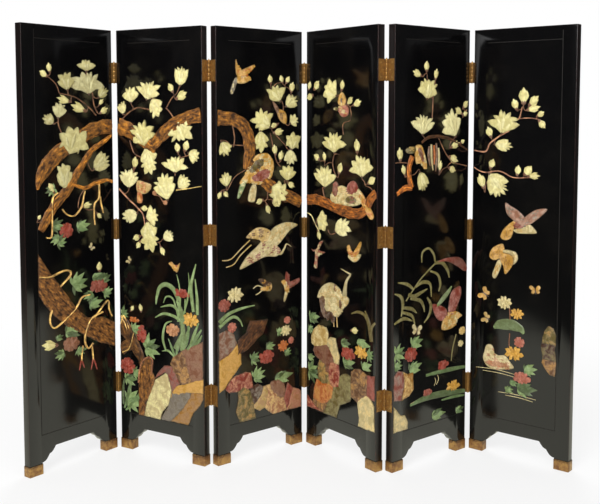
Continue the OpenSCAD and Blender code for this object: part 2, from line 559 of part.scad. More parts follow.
// Rocks, birds and other single stones: outlines
rocks = [
    [
        [[61, 905], [120, 820], [180, 745], [245, 655], [303, 609], [386, 599], [451, 564], [451, 457],
         [358, 495], [275, 544], [200, 590], [130, 650], [95, 690], [61, 740]]
    ],
    [
        [[136, 165], [150, 227], [171, 268], [198, 330], [253, 368], [267, 361], [284, 296], [278, 268],
         [267, 234], [233, 199], [222, 165]],
        [[226, 165], [267, 227], [278, 261], [364, 302], [391, 306], [384, 282], [350, 234], [281, 165]],
        [[281, 268], [288, 289], [315, 323], [350, 330], [451, 368], [451, 312], [391, 306], [364, 302]],
        [[284, 165], [315, 199], [371, 241], [391, 275], [395, 302], [451, 308], [451, 285], [433, 254],
         [398, 220], [374, 165]],
        [[281, 413], [295, 440], [343, 475], [451, 526], [451, 372], [350, 334], [333, 330], [315, 365],
         [298, 385]],
        [[195, 337], [219, 371], [250, 399], [288, 402], [302, 378], [329, 337], [326, 323], [288, 296],
         [267, 365], [253, 372]],
        [[102, 165], [105, 296], [116, 365], [143, 413], [181, 427], [178, 365], [195, 337], [171, 268],
         [150, 227], [133, 165]],
        [[132, 1092], [108, 1096], [112, 1140], [104, 1160], [112, 1188], [145, 1184], [172, 1178],
         [188, 1168], [176, 1146], [150, 1132]],
        [[278, 842], [292, 852], [304, 842], [320, 838], [336, 850], [330, 825], [318, 808], [302, 822]]
    ],
    [
        [[100, 1697], [112, 1670], [128, 1655], [150, 1662], [196, 1678], [190, 1660], [165, 1640],
         [172, 1615], [140, 1600], [105, 1600], [85, 1555], [70, 1562], [84, 1600], [105, 1622], [98, 1660]],
        [[300, 1515], [318, 1490], [350, 1488], [370, 1465], [366, 1430], [340, 1438], [322, 1462]],
        [[120, 1195], [150, 1225], [165, 1270], [215, 1300], [262, 1290], [298, 1262], [290, 1215],
         [262, 1188], [215, 1178], [165, 1190], [122, 1178]],
        [[160, 1108], [168, 1150], [185, 1175], [205, 1168], [200, 1120], [190, 1100]],
        [[115, 820], [150, 870], [205, 905], [212, 938], [170, 945], [150, 955], [200, 988], [250, 985],
         [290, 965], [350, 1000], [390, 1000], [432, 985], [390, 965], [355, 935], [330, 912], [300, 905],
         [330, 880], [310, 856], [250, 860], [190, 842]],
        [[338, 740], [365, 730], [366, 780], [380, 770], [385, 735], [440, 745], [438, 728], [390, 712],
         [380, 680], [355, 650], [362, 700]],
        [[100, 455], [105, 520], [150, 545], [165, 590], [215, 588], [262, 586], [235, 530], [190, 500],
         [150, 470]],
        [[8, 452], [8, 560], [45, 568], [80, 548], [97, 500], [85, 470], [60, 448]],
        [[8, 312], [45, 330], [110, 400], [116, 450], [104, 500], [85, 470], [60, 446], [8, 448]],
        [[36, 318], [60, 350], [105, 370], [155, 368], [174, 340], [178, 296], [140, 305], [100, 300],
         [60, 300]],
        [[108, 165], [94, 210], [105, 285], [130, 312], [152, 300], [175, 260], [185, 210], [193, 165]],
        [[180, 230], [195, 300], [215, 325], [250, 300], [262, 250], [240, 205], [205, 200]],
        [[250, 202], [262, 260], [285, 292], [310, 285], [332, 240], [356, 200], [358, 168], [310, 166],
         [280, 182]],
        [[285, 296], [300, 312], [345, 308], [372, 262], [360, 230], [334, 242], [312, 286]],
        [[356, 200], [362, 232], [376, 262], [420, 250], [449, 235], [449, 170], [362, 168]]
    ],
    [
        [[170, 1130], [165, 1105], [200, 1094], [300, 1095], [360, 1110], [384, 1140], [430, 1082],
         [438, 1120], [395, 1158], [345, 1172], [310, 1195], [285, 1180], [240, 1168], [195, 1168]],
        [[205, 1462], [202, 1495], [215, 1540], [240, 1560], [262, 1545], [268, 1500], [284, 1470],
         [262, 1455]],
        [[76, 674], [110, 725], [172, 750], [227, 732], [241, 712], [284, 700], [284, 677], [255, 650],
         [227, 615], [207, 605], [138, 606], [100, 627], [103, 668]],
        [[35, 880], [50, 870], [62, 868], [56, 805], [66, 798], [76, 805], [84, 855], [130, 875],
         [88, 882], [115, 922], [90, 915], [76, 890], [55, 878]],
        [[275, 920], [290, 925], [302, 905], [318, 900], [355, 945], [365, 935], [348, 895], [360, 892],
         [340, 865], [315, 858], [278, 880], [296, 890], [276, 905]],
        [[34, 480], [55, 520], [90, 548], [140, 545], [152, 520], [148, 474], [120, 462], [60, 452]],
        [[152, 490], [172, 512], [205, 508], [208, 480], [226, 450], [220, 405], [192, 402], [165, 445]],
        [[20, 430], [60, 448], [120, 458], [148, 470], [162, 445], [188, 402], [155, 392], [100, 388],
         [60, 405]],
        [[158, 310], [150, 350], [175, 392], [222, 400], [225, 340], [215, 300], [180, 298]],
        [[84, 330], [90, 372], [110, 385], [155, 388], [148, 350], [156, 308], [110, 306]],
        [[50, 205], [58, 260], [80, 300], [150, 304], [186, 290], [176, 240], [150, 200], [100, 180]],
        [[8, 170], [8, 215], [45, 205], [60, 185], [120, 180], [146, 168]],
        [[152, 168], [185, 250], [215, 296], [232, 350], [270, 372], [295, 365], [300, 270], [290, 255],
         [240, 235], [222, 200], [215, 168]],
        [[303, 280], [304, 380], [345, 410], [380, 400], [398, 350], [372, 300], [340, 275]],
        [[350, 168], [362, 200], [347, 245], [366, 285], [400, 304], [430, 295], [449, 255], [449, 168]],
        [[402, 345], [402, 385], [430, 392], [449, 375], [449, 306], [425, 300], [404, 312]]
    ],
    [
        [[118, 1330], [128, 1345], [155, 1345], [172, 1325], [188, 1280], [192, 1250], [172, 1255],
         [140, 1280], [128, 1262], [118, 1280]],
        [[200, 1300], [205, 1340], [245, 1346], [268, 1322], [265, 1280], [248, 1230], [228, 1228],
         [205, 1262]],
        [[232, 670], [280, 662], [336, 636], [350, 700], [375, 722], [412, 728], [418, 690], [392, 640],
         [400, 605], [428, 598], [395, 585], [385, 560], [340, 548], [295, 555], [300, 590], [262, 608]],
        [[108, 578], [150, 576], [176, 568], [140, 560], [122, 562]],
        [[8, 302], [8, 398], [30, 420], [60, 410], [90, 396], [118, 400], [122, 330], [95, 306],
         [50, 296]],
        [[8, 168], [8, 272], [30, 250], [45, 230], [70, 225], [88, 195], [88, 168]]
    ],
    [
        [[155, 1097], [165, 1050], [205, 1025], [195, 1005], [150, 1000], [137, 945], [160, 942],
         [185, 985], [200, 975], [208, 965], [215, 978], [298, 980], [282, 1005], [270, 1015], [300, 1035],
         [345, 1080], [300, 1078], [250, 1052], [215, 1068]],
        [[85, 862], [100, 900], [145, 922], [155, 890], [205, 890], [214, 868], [190, 820], [162, 792],
         [150, 828], [118, 772], [100, 780], [112, 820], [132, 850]],
        [[272, 745], [300, 755], [316, 758], [322, 735], [326, 715], [312, 708], [300, 728]],
        [[40, 698], [70, 705], [92, 712], [105, 690], [106, 668], [88, 678], [60, 685]],
        [[48, 570], [55, 600], [75, 612], [98, 600], [80, 590], [66, 578]],
        [[62, 415], [68, 445], [78, 475], [100, 480], [112, 465], [114, 448], [135, 438], [165, 442],
         [190, 418], [208, 395], [180, 384], [120, 374], [80, 384]],
        [[390, 402], [393, 500], [393, 602], [372, 604], [350, 580], [335, 530], [338, 480], [345, 440],
         [365, 415]]
    ]
];

function on_board(points) = [
    for (p = points) [p[0]*draw_kx, board_z + (p[1] - draw_low)*draw_kz]
];

// A ring of points that are far and near in turn: x, z, width, height, turn
function lobed(item, lobes, notch, turn) = [
    for (i = [0:2*lobes - 1]) let (a = turn + 180*i/lobes, k = i % 2 == 0 ? 1 : 1 - notch)
        [item[0] + item[2]/2*k*cos(a), item[1] + item[3]/2*k*sin(a)]
];

// A pointed oval: x, z, length, width, direction
bud_shape = [[-0.5, 0], [-0.3, 0.4], [0.05, 0.5], [0.5, 0], [0.05, -0.5], [-0.3, -0.4]];
function bud_points(item) = [
    for (p = bud_shape) let (x = p[0]*item[2], y = p[1]*item[3], a = item[4])
        [item[0] + x*cos(a) - y*sin(a), item[1] + x*sin(a) + y*cos(a)]
];

// Both sides of a line of [x, z, width] points
function heading(line, i) =
    let (a = line[max(i - 1, 0)], b = line[min(i + 1, len(line) - 1)]) atan2(b[1] - a[1], b[0] - a[0]);
function side_point(line, i, side) =
    let (a = heading(line, i) + 90, p = line[i]) [p[0] + side*p[2]/2*cos(a), p[1] + side*p[2]/2*sin(a)];
function branch_points(line) = concat(
    [for (i = [0:len(line) - 1]) side_point(line, i, 1)],
    [for (i = [len(line) - 1:-1:0]) side_point(line, i, -1)]);

module stone_relief(n) {
    color(stone) rotate([90, 0, 0]) linear_extrude(relief_h) {
        for (item = blooms[n - 1]) polygon(on_board(lobed(item, bloom_lobes, bloom_notch, item[4])));
        for (item = peonies[n - 1]) polygon(on_board(lobed(item, peony_lobes, peony_notch, 0)));
        for (item = leaves[n - 1]) polygon(on_board(lobed(item, leaf_lobes, leaf_notch, item[4])));
        for (item = buds[n - 1]) polygon(on_board(bud_points(item)));
        for (line = branches[n - 1]) polygon(on_board(branch_points(line)));
        for (points = rocks[n - 1]) polygon(on_board(points));
    }
}

at_panel(1) left_stile(1);  // panel_1_left_stile
at_panel(1) right_stile(1);  // panel_1_right_stile
at_panel(1) top_rail();  // panel_1_top_rail
at_panel(1) apron_rail();  // panel_1_apron_rail
at_panel(1) field_board();  // panel_1_field_board
at_panel(1) foot_caps();  // panel_1_foot_caps
at_panel(1) stone_relief(1);  // panel_1_stone_relief
at_panel(1) hinge_leaves(1);  // panel_1_hinge_leaves
at_panel(1) hinge_screws(1);  // panel_1_hinge_screws
at_panel(2) left_stile(2);  // panel_2_left_stile
at_panel(2) right_stile(2);  // panel_2_right_stile
at_panel(2) top_rail();  // panel_2_top_rail
at_panel(2) apron_rail();  // panel_2_apron_rail
at_panel(2) field_board();  // panel_2_field_board
at_panel(2) foot_caps();  // panel_2_foot_caps
at_panel(2) stone_relief(2);  // panel_2_stone_relief
at_panel(2) hinge_leaves(2);  // panel_2_hinge_leaves
at_panel(2) hinge_screws(2);  // panel_2_hinge_screws
at_panel(3) left_stile(3);  // panel_3_left_stile
at_panel(3) right_stile(3);  // panel_3_right_stile
at_panel(3) top_rail();  // panel_3_top_rail
at_panel(3) apron_rail();  // panel_3_apron_rail
at_panel(3) field_board();  // panel_3_field_board
at_panel(3) foot_caps();  // panel_3_foot_caps
at_panel(3) stone_relief(3);  // panel_3_stone_relief
at_panel(3) hinge_leaves(3);  // panel_3_hinge_leaves
at_panel(3) hinge_screws(3);  // panel_3_hinge_screws
at_panel(4) left_stile(4);  // panel_4_left_stile
at_panel(4) right_stile(4);  // panel_4_right_stile
at_panel(4) top_rail();  // panel_4_top_rail
at_panel(4) apron_rail();  // panel_4_apron_rail
at_panel(4) field_board();  // panel_4_field_board
at_panel(4) foot_caps();  // panel_4_foot_caps
at_panel(4) stone_relief(4);  // panel_4_stone_relief
at_panel(4) hinge_leaves(4);  // panel_4_hinge_leaves
at_panel(4) hinge_screws(4);  // panel_4_hinge_screws
at_panel(5) left_stile(5);  // panel_5_left_stile
at_panel(5) right_stile(5);  // panel_5_right_stile
at_panel(5) top_rail();  // panel_5_top_rail
at_panel(5) apron_rail();  // panel_5_apron_rail
at_panel(5) field_board();  // panel_5_field_board
at_panel(5) foot_caps();  // panel_5_foot_caps
at_panel(5) stone_relief(5);  // panel_5_stone_relief
at_panel(5) hinge_leaves(5);  // panel_5_hinge_leaves
at_panel(5) hinge_screws(5);  // panel_5_hinge_screws
at_panel(6) left_stile(6);  // panel_6_left_stile
at_panel(6) right_stile(6);  // panel_6_right_stile
at_panel(6) top_rail();  // panel_6_top_rail
at_panel(6) apron_rail();  // panel_6_apron_rail
at_panel(6) field_board();  // panel_6_field_board
at_panel(6) foot_caps();  // panel_6_foot_caps
at_panel(6) stone_relief(6);  // panel_6_stone_relief
at_panel(6) hinge_leaves(6);  // panel_6_hinge_leaves
at_panel(6) hinge_screws(6);  // panel_6_hinge_screws
hinge_pins(1);  // hinge_pins_1_2
hinge_pins(2);  // hinge_pins_2_3
hinge_pins(3);  // hinge_pins_3_4
hinge_pins(4);  // hinge_pins_4_5
hinge_pins(5);  // hinge_pins_5_6
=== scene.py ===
# %% [markdown]
# # A six-panel lacquer screen with carved stone flowers
# The real screen is six black lacquered panels that stand in a zigzag. Each panel is a frame of
# stiles and rails round a board, with brass caps on its feet and brass hinges on its ends.
# Birds, rocks and flowering branches are carved from coloured stones and glued on the fronts.
# The CAD frame gives every size and place, so the scene only adds shape detail and finish.

import math
import random

import bmesh
import bpy
import numpy as np
from mathutils import Matrix, Vector, noise
from mathutils.geometry import delaunay_2d_cdt


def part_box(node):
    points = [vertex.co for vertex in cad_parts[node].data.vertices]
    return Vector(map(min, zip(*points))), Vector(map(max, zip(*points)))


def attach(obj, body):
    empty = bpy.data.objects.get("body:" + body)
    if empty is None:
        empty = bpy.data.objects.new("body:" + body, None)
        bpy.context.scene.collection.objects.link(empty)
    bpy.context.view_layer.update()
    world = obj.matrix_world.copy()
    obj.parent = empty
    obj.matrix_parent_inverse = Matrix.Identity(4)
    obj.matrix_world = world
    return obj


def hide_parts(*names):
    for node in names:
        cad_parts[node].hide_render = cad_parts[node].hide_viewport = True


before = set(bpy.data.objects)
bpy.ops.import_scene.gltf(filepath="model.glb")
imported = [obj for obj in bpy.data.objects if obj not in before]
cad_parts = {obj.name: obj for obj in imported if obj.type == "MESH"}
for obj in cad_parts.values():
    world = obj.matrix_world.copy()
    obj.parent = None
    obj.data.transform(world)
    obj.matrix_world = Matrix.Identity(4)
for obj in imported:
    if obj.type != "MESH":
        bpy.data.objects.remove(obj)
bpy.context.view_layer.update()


def put(name, data):
    """A new object in the scene."""
    thing = bpy.data.objects.new(name, data)
    bpy.context.scene.collection.objects.link(thing)
    return thing


# %% [markdown]
# The camera comes first, because everything else is judged through it. A lens was fitted to the
# feet and corners of the panels: the photographer stood about four metres away, a little above
# the middle of the screen, and looked slightly down. Upright lines stay nearly upright, which is
# done here with a small lens shift, as an architecture photographer would.

# %% Camera at the photograph's viewing angle
FOCAL_PX, IMAGE_W, SENSOR_W = 933, 600, 36
CAMERA_PLACE, LOOK_DOWN, LENS_SHIFT = (-0.0029, -3.906, 1.464), 4.3, -0.11

camera = put("camera", bpy.data.cameras.new("camera"))
camera.data.sensor_width = SENSOR_W
camera.data.lens = FOCAL_PX / IMAGE_W * SENSOR_W
camera.data.shift_y = LENS_SHIFT
camera.location = CAMERA_PLACE
camera.rotation_euler = (math.radians(90 - LOOK_DOWN), 0, 0)
bpy.context.scene.camera = camera
bpy.context.scene.view_settings.view_transform = "Standard"
print("lens", round(camera.data.lens, 1), "mm")

# %% [markdown]
# Each panel has its own directions: along its width, backwards through it, and up. The turns are
# those of the CAD frame, and the corner of each panel is measured from its left stile, so a piece
# can be drawn flat, as on a workbench, and then stood up in its place.

# %% Where the panels stand
MM, PANELS = 0.001, range(1, 7)
TURNS = [52, -31, 40, -52, 40, -39]
UP = np.array([0.0, 0.0, 1.0])


def cad_points(number, part):
    """The corners of a panel's CAD node, in metres."""
    return np.array([v.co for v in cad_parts[f"panel_{number}_{part}"].data.vertices])


def directions(number):
    """The directions along a panel and backwards through it."""
    turn = math.radians(TURNS[number - 1])
    return np.array([math.cos(turn), math.sin(turn), 0]), np.array([-math.sin(turn), math.cos(turn), 0])


def matrix_of(axes, corner):
    """The matrix that takes a drawing with these three axes to its corner."""
    return Matrix([(*row, at) for row, at in zip(np.array(axes).T, corner)] + [(0, 0, 0, 1)])


def stand(number):
    """The matrix that takes a panel's own place (width, depth, height) to the row frame."""
    along, back = directions(number)
    stile = cad_points(number, "left_stile")
    return matrix_of([along, back, UP], along * (stile @ along).min() + back * (stile @ back).min())


places = {number: stand(number) for number in PANELS}
along, back = directions(1)
stile = cad_points(1, "left_stile")
PANEL_W = (cad_points(1, "right_stile") @ along).max() - (stile @ along).min()
PANEL_T, STILE_W = np.ptp(stile @ back), np.ptp(stile @ along)
FOOT_Z, PANEL_H = [corner.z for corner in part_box("panel_1_left_stile")]
BOARD_LOW, BOARD_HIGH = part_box("panel_1_apron_rail")[1].z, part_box("panel_1_top_rail")[0].z
print("panel", round(PANEL_W, 4), "x", round(PANEL_T, 4), "x", round(PANEL_H, 4), "stile", round(STILE_W, 4))
print("board from", round(BOARD_LOW, 4), "to", round(BOARD_HIGH, 4))

# %% [markdown]
# Materials and Geometry Nodes are both built from nodes, so one small class adds a node to either
# kind of tree, and another wraps an output socket. Arithmetic on a wrapped socket adds Math nodes,
# which lets a pattern be written as one line of Python instead of a page of links.

# %% Nodes written as expressions
class Wire:
    """An output socket. The signs + - * / and ** on it, and abs, add Math nodes."""

    def __init__(self, tree, socket):
        self.tree, self.socket = tree, socket

    def maths(self, operation, *values):
        return self.tree.add("Math", {"operation": operation}, dict(enumerate(values)))

    def __rsub__(self, other):
        return self.maths("SUBTRACT", other, self)

    def __abs__(self):
        return self.maths("ABSOLUTE", self)

    def at_least(self, low):
        return self.maths("MAXIMUM", self, low)

    def ramp(self, low, high):
        """0 below low and 1 above high, with a soft step between them."""
        return self.tree.add("MapRange", {"interpolation_type": "SMOOTHSTEP"},
                             {"Value": self, "From Min": low, "From Max": high})

    def axes(self, letters="XYZ"):
        """The numbers of a vector."""
        return [self.tree.add("SeparateXYZ", {}, {"Vector": self}, letter) for letter in letters]

    def vector(self, operation, sockets=None, out=0):
        return self.tree.add("VectorMath", {"operation": operation}, {0: self, **(sockets or {})}, out)


for signs, operation in (("add radd", "ADD"), ("sub", "SUBTRACT"), ("mul rmul", "MULTIPLY"),
                         ("truediv", "DIVIDE"), ("pow", "POWER")):
    for sign in signs.split():
        setattr(Wire, f"__{sign}__", lambda self, other, kind=operation: self.maths(kind, self, other))


class Nodes:
    """Adds nodes to a tree: their settings first, then the values or links of their sockets."""

    def __init__(self, tree):
        self.tree = tree

    def add(self, kind, settings=None, sockets=None, out=0):
        """Adds a node and gives back one of its outputs. A shader node's kind goes without its prefix."""
        node = self.tree.nodes.new(kind if kind.startswith(("Geometry", "Function")) else "ShaderNode" + kind)
        for name, value in (settings or {}).items():
            setattr(node, name, value)
        for name, value in (sockets or {}).items():
            found = node.inputs[name] if isinstance(name, int) else next(
                s for s in node.inputs if s.name == name and s.enabled)
            if isinstance(value, Wire):
                self.tree.links.new(value.socket, found)
            else:
                found.default_value = value
        shown = [s for s in node.outputs if s.enabled]
        named = [s for s in shown if s.name == out] if isinstance(out, str) else shown[out:out + 1]
        return Wire(self, named[0]) if named else None

    def rays(self):
        """1 for the rays that the camera sends, and 1 for those that a mirror sends."""
        return [self.add("LightPath", out=f"Is {kind} Ray") for kind in ("Camera", "Glossy")]


def rgb(red, green, blue):
    """A colour as it shows on the screen, from 0 to 255, as the linear colour that nodes use."""
    return tuple(((v / 255 + 0.055) / 1.055) ** 2.4 if v > 10 else v / 3294.6 for v in (red, green, blue))


class Paint(Nodes):
    """A material's nodes, with the patterns that this screen's finishes share."""

    def __init__(self, name):
        self.material = bpy.data.materials.new(name)
        self.material.use_nodes = True
        super().__init__(self.material.node_tree)
        self.tree.nodes.clear()
        self.where = self.add("TexCoord", out="Object")

    def noise(self, scale, detail=3.0, rough=0.55, warp=0.0):
        return self.add("TexNoise", {}, {"Vector": self.where, "Scale": scale, "Detail": detail,
                                         "Roughness": rough, "Distortion": warp}, "Fac")

    def attribute(self, name, out="Fac"):
        return self.add("Attribute", {"attribute_name": name}, {}, out)

    def mix(self, share, first, second, blend="MIX"):
        first, second = [(*c, 1) if isinstance(c, tuple) else c for c in (first, second)]
        return self.add("Mix", {"data_type": "RGBA", "blend_type": blend},
                        {"Factor": share, "A": first, "B": second})

    def bump(self, height, strength, distance):
        return self.add("Bump", {}, {"Height": height, "Strength": strength, "Distance": distance})

    def finish(self, **sockets):
        named = {name.replace("_", " "): value for name, value in sockets.items()}
        self.add("OutputMaterial", {}, {"Surface": self.add("BsdfPrincipled", {}, named)})
        return self.material


print("helpers ready")

# %% [markdown]
# The photograph has a white ground. The floor is pale and matt and keeps the screen's soft shadow,
# but to the camera it also glows a little, so that it runs into the white world without a line.
# Black lacquer shows its surroundings, so what it mirrors matters: a dim room, and close by the
# pale floor, which greys the lowest part of every panel. Light Path tells those rays apart.

# %% Floor and world
FLOOR_HALF, FLOOR_Z, FLOOR_GREY, FLOOR_GLOW, GLOW_FULL = 15, -0.0005, 0.86, 0.72, (1.0, 3.2)
NEAR_LEFT, NEAR_RIGHT, NEAR_FRONT, NEAR_SOFT = -3.0, 2.0, -1.0, 0.35
MIRRORED_FLOOR, NEAR_GLOSS, ROOM_GLOSS, ROOM_FILL = (1, 0.99, 0.82, 1), 0.98, 0.05, 0.42
WHITE = (1, 1, 1, 1)

floor_mesh = bpy.data.meshes.new("floor")
floor_mesh.from_pydata([(x * FLOOR_HALF, y * FLOOR_HALF, FLOOR_Z)
                        for x, y in ((-1, -1), (1, -1), (1, 1), (-1, 1))],
                       [], [(0, 1, 2, 3)])
put("floor", floor_mesh)

ground = Paint("pale_floor")
matt = ground.add("BsdfDiffuse", {}, {"Color": (FLOOR_GREY, FLOOR_GREY, FLOOR_GREY, 1)})
white = ground.add("Emission", {}, {"Color": WHITE, "Strength": 1.0})
seen, mirrored = ground.rays()
spot = ground.add("NewGeometry", out="Position")
spot_x, spot_y = spot.axes("XY")
near = (spot_x.ramp(NEAR_LEFT - NEAR_SOFT, NEAR_LEFT) * (1 - spot_x.ramp(NEAR_RIGHT, NEAR_RIGHT + NEAR_SOFT))
        * spot_y.ramp(NEAR_FRONT - NEAR_SOFT, NEAR_FRONT))
glow = FLOOR_GLOW + (1 - FLOOR_GLOW) * spot.vector("LENGTH", out="Value").ramp(*GLOW_FULL)
for_camera = ground.add("MixShader", {}, {0: seen * glow, 1: matt, 2: white})
for_gloss = ground.add("Emission", {}, {"Color": MIRRORED_FLOOR, "Strength": near * NEAR_GLOSS + ROOM_GLOSS})
ground.add("OutputMaterial", {}, {
    "Surface": ground.add("MixShader", {}, {0: mirrored, 1: for_camera, 2: for_gloss})})
floor_mesh.materials.append(ground.material)

world = bpy.data.worlds.new("studio")
bpy.context.scene.world = world
world.use_nodes = True
world.node_tree.nodes.clear()
sky = Nodes(world.node_tree)
seen, mirrored = sky.rays()
strength = seen + (1 - seen) * (mirrored * ROOM_GLOSS + (1 - mirrored) * ROOM_FILL)
sky.add("OutputWorld", {}, {"Surface": sky.add("Background", {}, {"Color": WHITE, "Strength": strength})})
print("floor", 2 * FLOOR_HALF, "m wide")

# %% [markdown]
# The panels that face left are a little brighter in the photograph than those that face right, so
# the larger soft lamp stands in front and slightly to the left. Both lamps hang high: a vertical
# mirror that is seen from head height then never shows them. A third one lights the backs.

# %% Lamps
LAMPS = {"key": ((-1.5, -4.6, 4.3), 285, 3.0), "fill": ((2.7, -4.2, 3.9), 55, 3.0),
         "rear": ((0.5, 4.5, 4.5), 160, 3.5)}
LAMP_TARGET = Vector((0, 0, 0.85))
for name, (place, watts, size) in LAMPS.items():
    lamp = put(name, bpy.data.lights.new(name, "AREA"))
    lamp.data.energy, lamp.data.size = watts, size
    lamp.location = place
    lamp.rotation_mode = "QUATERNION"
    lamp.rotation_quaternion = (LAMP_TARGET - Vector(place)).to_track_quat("-Z", "Y")
print(len(LAMPS), "lamps")

# %% [markdown]
# Two steps come back for every piece. A mesh is drawn from plain lists of corners and faces, and a
# shape with modifiers is turned into a plain mesh. `baked` does the second with `new_from_object`,
# and `settle` also moves the result to its place and hands the piece to its body.

# %% Drawing and settling a piece
def draw(name, corners, faces, **attributes):
    """A mesh from lists, with its normals outwards. A value for each corner may go along with it."""
    mesh = bpy.data.meshes.new(name)
    mesh.from_pydata([tuple(map(float, c)) for c in corners], [], [tuple(map(int, f)) for f in faces])
    for key, values in attributes.items():
        store(mesh, key, values)
    shape = bmesh.new()
    shape.from_mesh(mesh)
    bmesh.ops.recalc_face_normals(shape, faces=shape.faces)
    shape.to_mesh(mesh)
    shape.free()
    return put(name, mesh)


def store(mesh, key, values):
    """Keeps a number, a vector or a colour for each corner of a mesh, as an attribute."""
    values = np.asarray(values, np.float32)
    kind = {1: ("FLOAT", "value"), 3: ("FLOAT_VECTOR", "vector"), 4: ("FLOAT_COLOR", "color")}
    data_type, field = kind[1 if values.ndim == 1 else values.shape[1]]
    attribute = mesh.attributes.get(key) or mesh.attributes.new(key, data_type, "POINT")
    attribute.data.foreach_set(field, values.ravel())


def baked(thing, name):
    """A plain object in the thing's stead, with the modifiers baked into its mesh."""
    bpy.context.view_layer.update()
    graph = bpy.context.evaluated_depsgraph_get()
    mesh = bpy.data.meshes.new_from_object(thing.evaluated_get(graph), preserve_all_data_layers=True,
                                           depsgraph=graph)
    bpy.data.objects.remove(thing)
    mesh.name = name
    return put(name, mesh)


def settle(thing, name, body, material, replaced, matrix=None, smooth=35):
    """Makes the finished piece of a shape and gives it to a CAD body, in the stead of CAD nodes."""
    piece = baked(thing, name)
    mesh = piece.data
    if matrix:
        mesh.transform(matrix)
    mesh.materials.clear()
    mesh.materials.append(material)
    for face in mesh.polygons:
        face.material_index = 0
    mesh.shade_smooth()
    mesh.set_sharp_from_angle(angle=math.radians(smooth))
    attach(piece, body)
    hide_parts(*replaced)
    return piece


def bevel(thing, width, segments, angle):
    modifier = thing.modifiers.new("bevel", "BEVEL")
    modifier.width, modifier.segments = width, segments
    modifier.limit_method, modifier.angle_limit = "ANGLE", math.radians(angle)
    modifier.use_clamp_overlap = True


print("drawing tools ready")

# %% [markdown]
# Lacquer is many thin coats of dark resin, rubbed to a deep gloss. It isn't a perfect mirror: the
# ground below it is a little wavy, the rubbing leaves some parts duller, and along the corners it
# has worn to a brown line. The ends of the panels are a dark red-brown. The wear is placed by the
# panel's own coordinates, which each panel keeps as an attribute, because it follows its edges.

# %% Black lacquer
BLACK, RUBBED_BLACK, END_BLACK = (0.0020, 0.0019, 0.0021), (0.0042, 0.0037, 0.0034), (0.006, 0.0035, 0.003)
WORN_BROWN, END_BROWN, DUST_AND_GLINT_IN_LINE = rgb(92, 36, 24), rgb(24, 11, 9), rgb(38, 34, 30)
LINE_W, LINE_D, WORN_W, LACQUER_IOR = 0.003, 0.0016, (0.0012, 0.0026), 1.53


def lacquer_paint():
    paint = Paint("black_lacquer")
    x, y, z = paint.attribute("own_place", "Vector").axes()
    from_end = PANEL_W / 2 - abs(x - PANEL_W / 2)
    from_face = PANEL_T / 2 - abs(y - PANEL_T / 2)
    from_top = PANEL_H - z
    on_end = 1 - from_end.ramp(0.0004, 0.0012)
    near_corner = (1 - (from_end + from_face).ramp(*WORN_W)) + (1 - (from_top + from_face).ramp(*WORN_W))
    chips = paint.noise(190, 4, 0.7).ramp(0.50, 0.66)
    rubbed = paint.noise(7, 5, 0.6)
    tone = paint.mix(rubbed.ramp(0.42, 0.75), BLACK, RUBBED_BLACK)
    ends = paint.mix(paint.noise(24, 4).ramp(0.3, 0.7), END_BROWN, END_BLACK)
    colour = paint.mix(on_end * 0.85, tone, ends)
    colour = paint.mix(near_corner * chips * 0.8, colour, WORN_BROWN)
    # The floor of the lower scratched line is painted paler than the lacquer: dust, and a painted highlight where
    # the line catches the light.
    low = BOARD_LOW - LINE_W
    scratch = (from_face.ramp(0.0005, 0.0011) * from_end.ramp(0.02, 0.021) * from_top.ramp(0.02, 0.021)
               * z.ramp(low - 0.003, low - 0.001))
    colour = paint.mix(scratch, colour, DUST_AND_GLINT_IN_LINE)
    dust = paint.noise(60, 6, 0.7)
    roughness = 0.055 + rubbed * 0.06 + dust * 0.05 + on_end * 0.22 + near_corner * 0.12 + scratch * 0.4
    wave = paint.noise(5.5, 2, 0.4) + paint.noise(260, 2, 0.5) * 0.012
    return paint.finish(Base_Color=colour, Roughness=roughness, IOR=LACQUER_IOR,
                        Normal=paint.bump(wave, 0.35, 0.0035))


lacquer = lacquer_paint()
print("the lacquer has", len(lacquer.node_tree.nodes), "nodes")

# %% [markdown]
# The real panel is joined from stiles, rails and a board, but under the lacquer no joint shows, so
# each panel is one skin. Its outline is extruded and its edges are bevelled, because even a sharp
# lacquered edge is rounded by about a millimetre. A scratched line marks the board's top and foot,
# and a vertical one the outer stiles. They are cut with Boolean, as a scraper would cut them.

# %% The lacquered bodies
ARCH_STEP, ARCH_RUN, ARCH_START, ARCH_TOP, ARCH_SWELL, ARCH_POINTS = 0.005, 0.063, 0.047, 0.102, 0.006, 24
EDGE_BEVEL = 0.0013
UNDER_LACQUER = ("left_stile", "right_stile", "top_rail", "apron_rail", "field_board")


def apron_edge():
    """The left half of the apron's lower edge: a step, then two lobes that meet in a cusp."""
    shares = np.linspace(0, 1, ARCH_POINTS + 1)
    rise = ARCH_START + (ARCH_TOP - ARCH_START) * shares - ARCH_SWELL * np.abs(np.sin(2 * np.pi * shares))
    return [(STILE_W, ARCH_START)] + [(STILE_W + ARCH_STEP + ARCH_RUN * s, z) for s, z in zip(shares, rise)]


def panel_outline():
    left = [(0, FOOT_Z), (STILE_W, FOOT_Z)] + apron_edge()
    return left + [(PANEL_W - x, z) for x, z in reversed(left)] + [(PANEL_W, PANEL_H), (0, PANEL_H)]


def prism(name, outline, front, depth):
    """An outline in width and height, pushed backwards through a depth."""
    return shell(name, [[(x, y, z) for x, z in outline] for y in (front, front + depth)])


def shell(name, rings):
    """A closed skin through rings of equal count, from the first one's cap to the last one's."""
    count = len(rings[0])
    corners = [p for ring in rings for p in ring]
    faces = [tuple(range(count)), tuple(range(len(corners) - 1, len(corners) - count - 1, -1))]
    faces += [(row + i, row + (i + 1) % count, row + (i + 1) % count + count, row + i + count)
              for row in range(0, len(corners) - count, count) for i in range(count)]
    return draw(name, corners, faces)


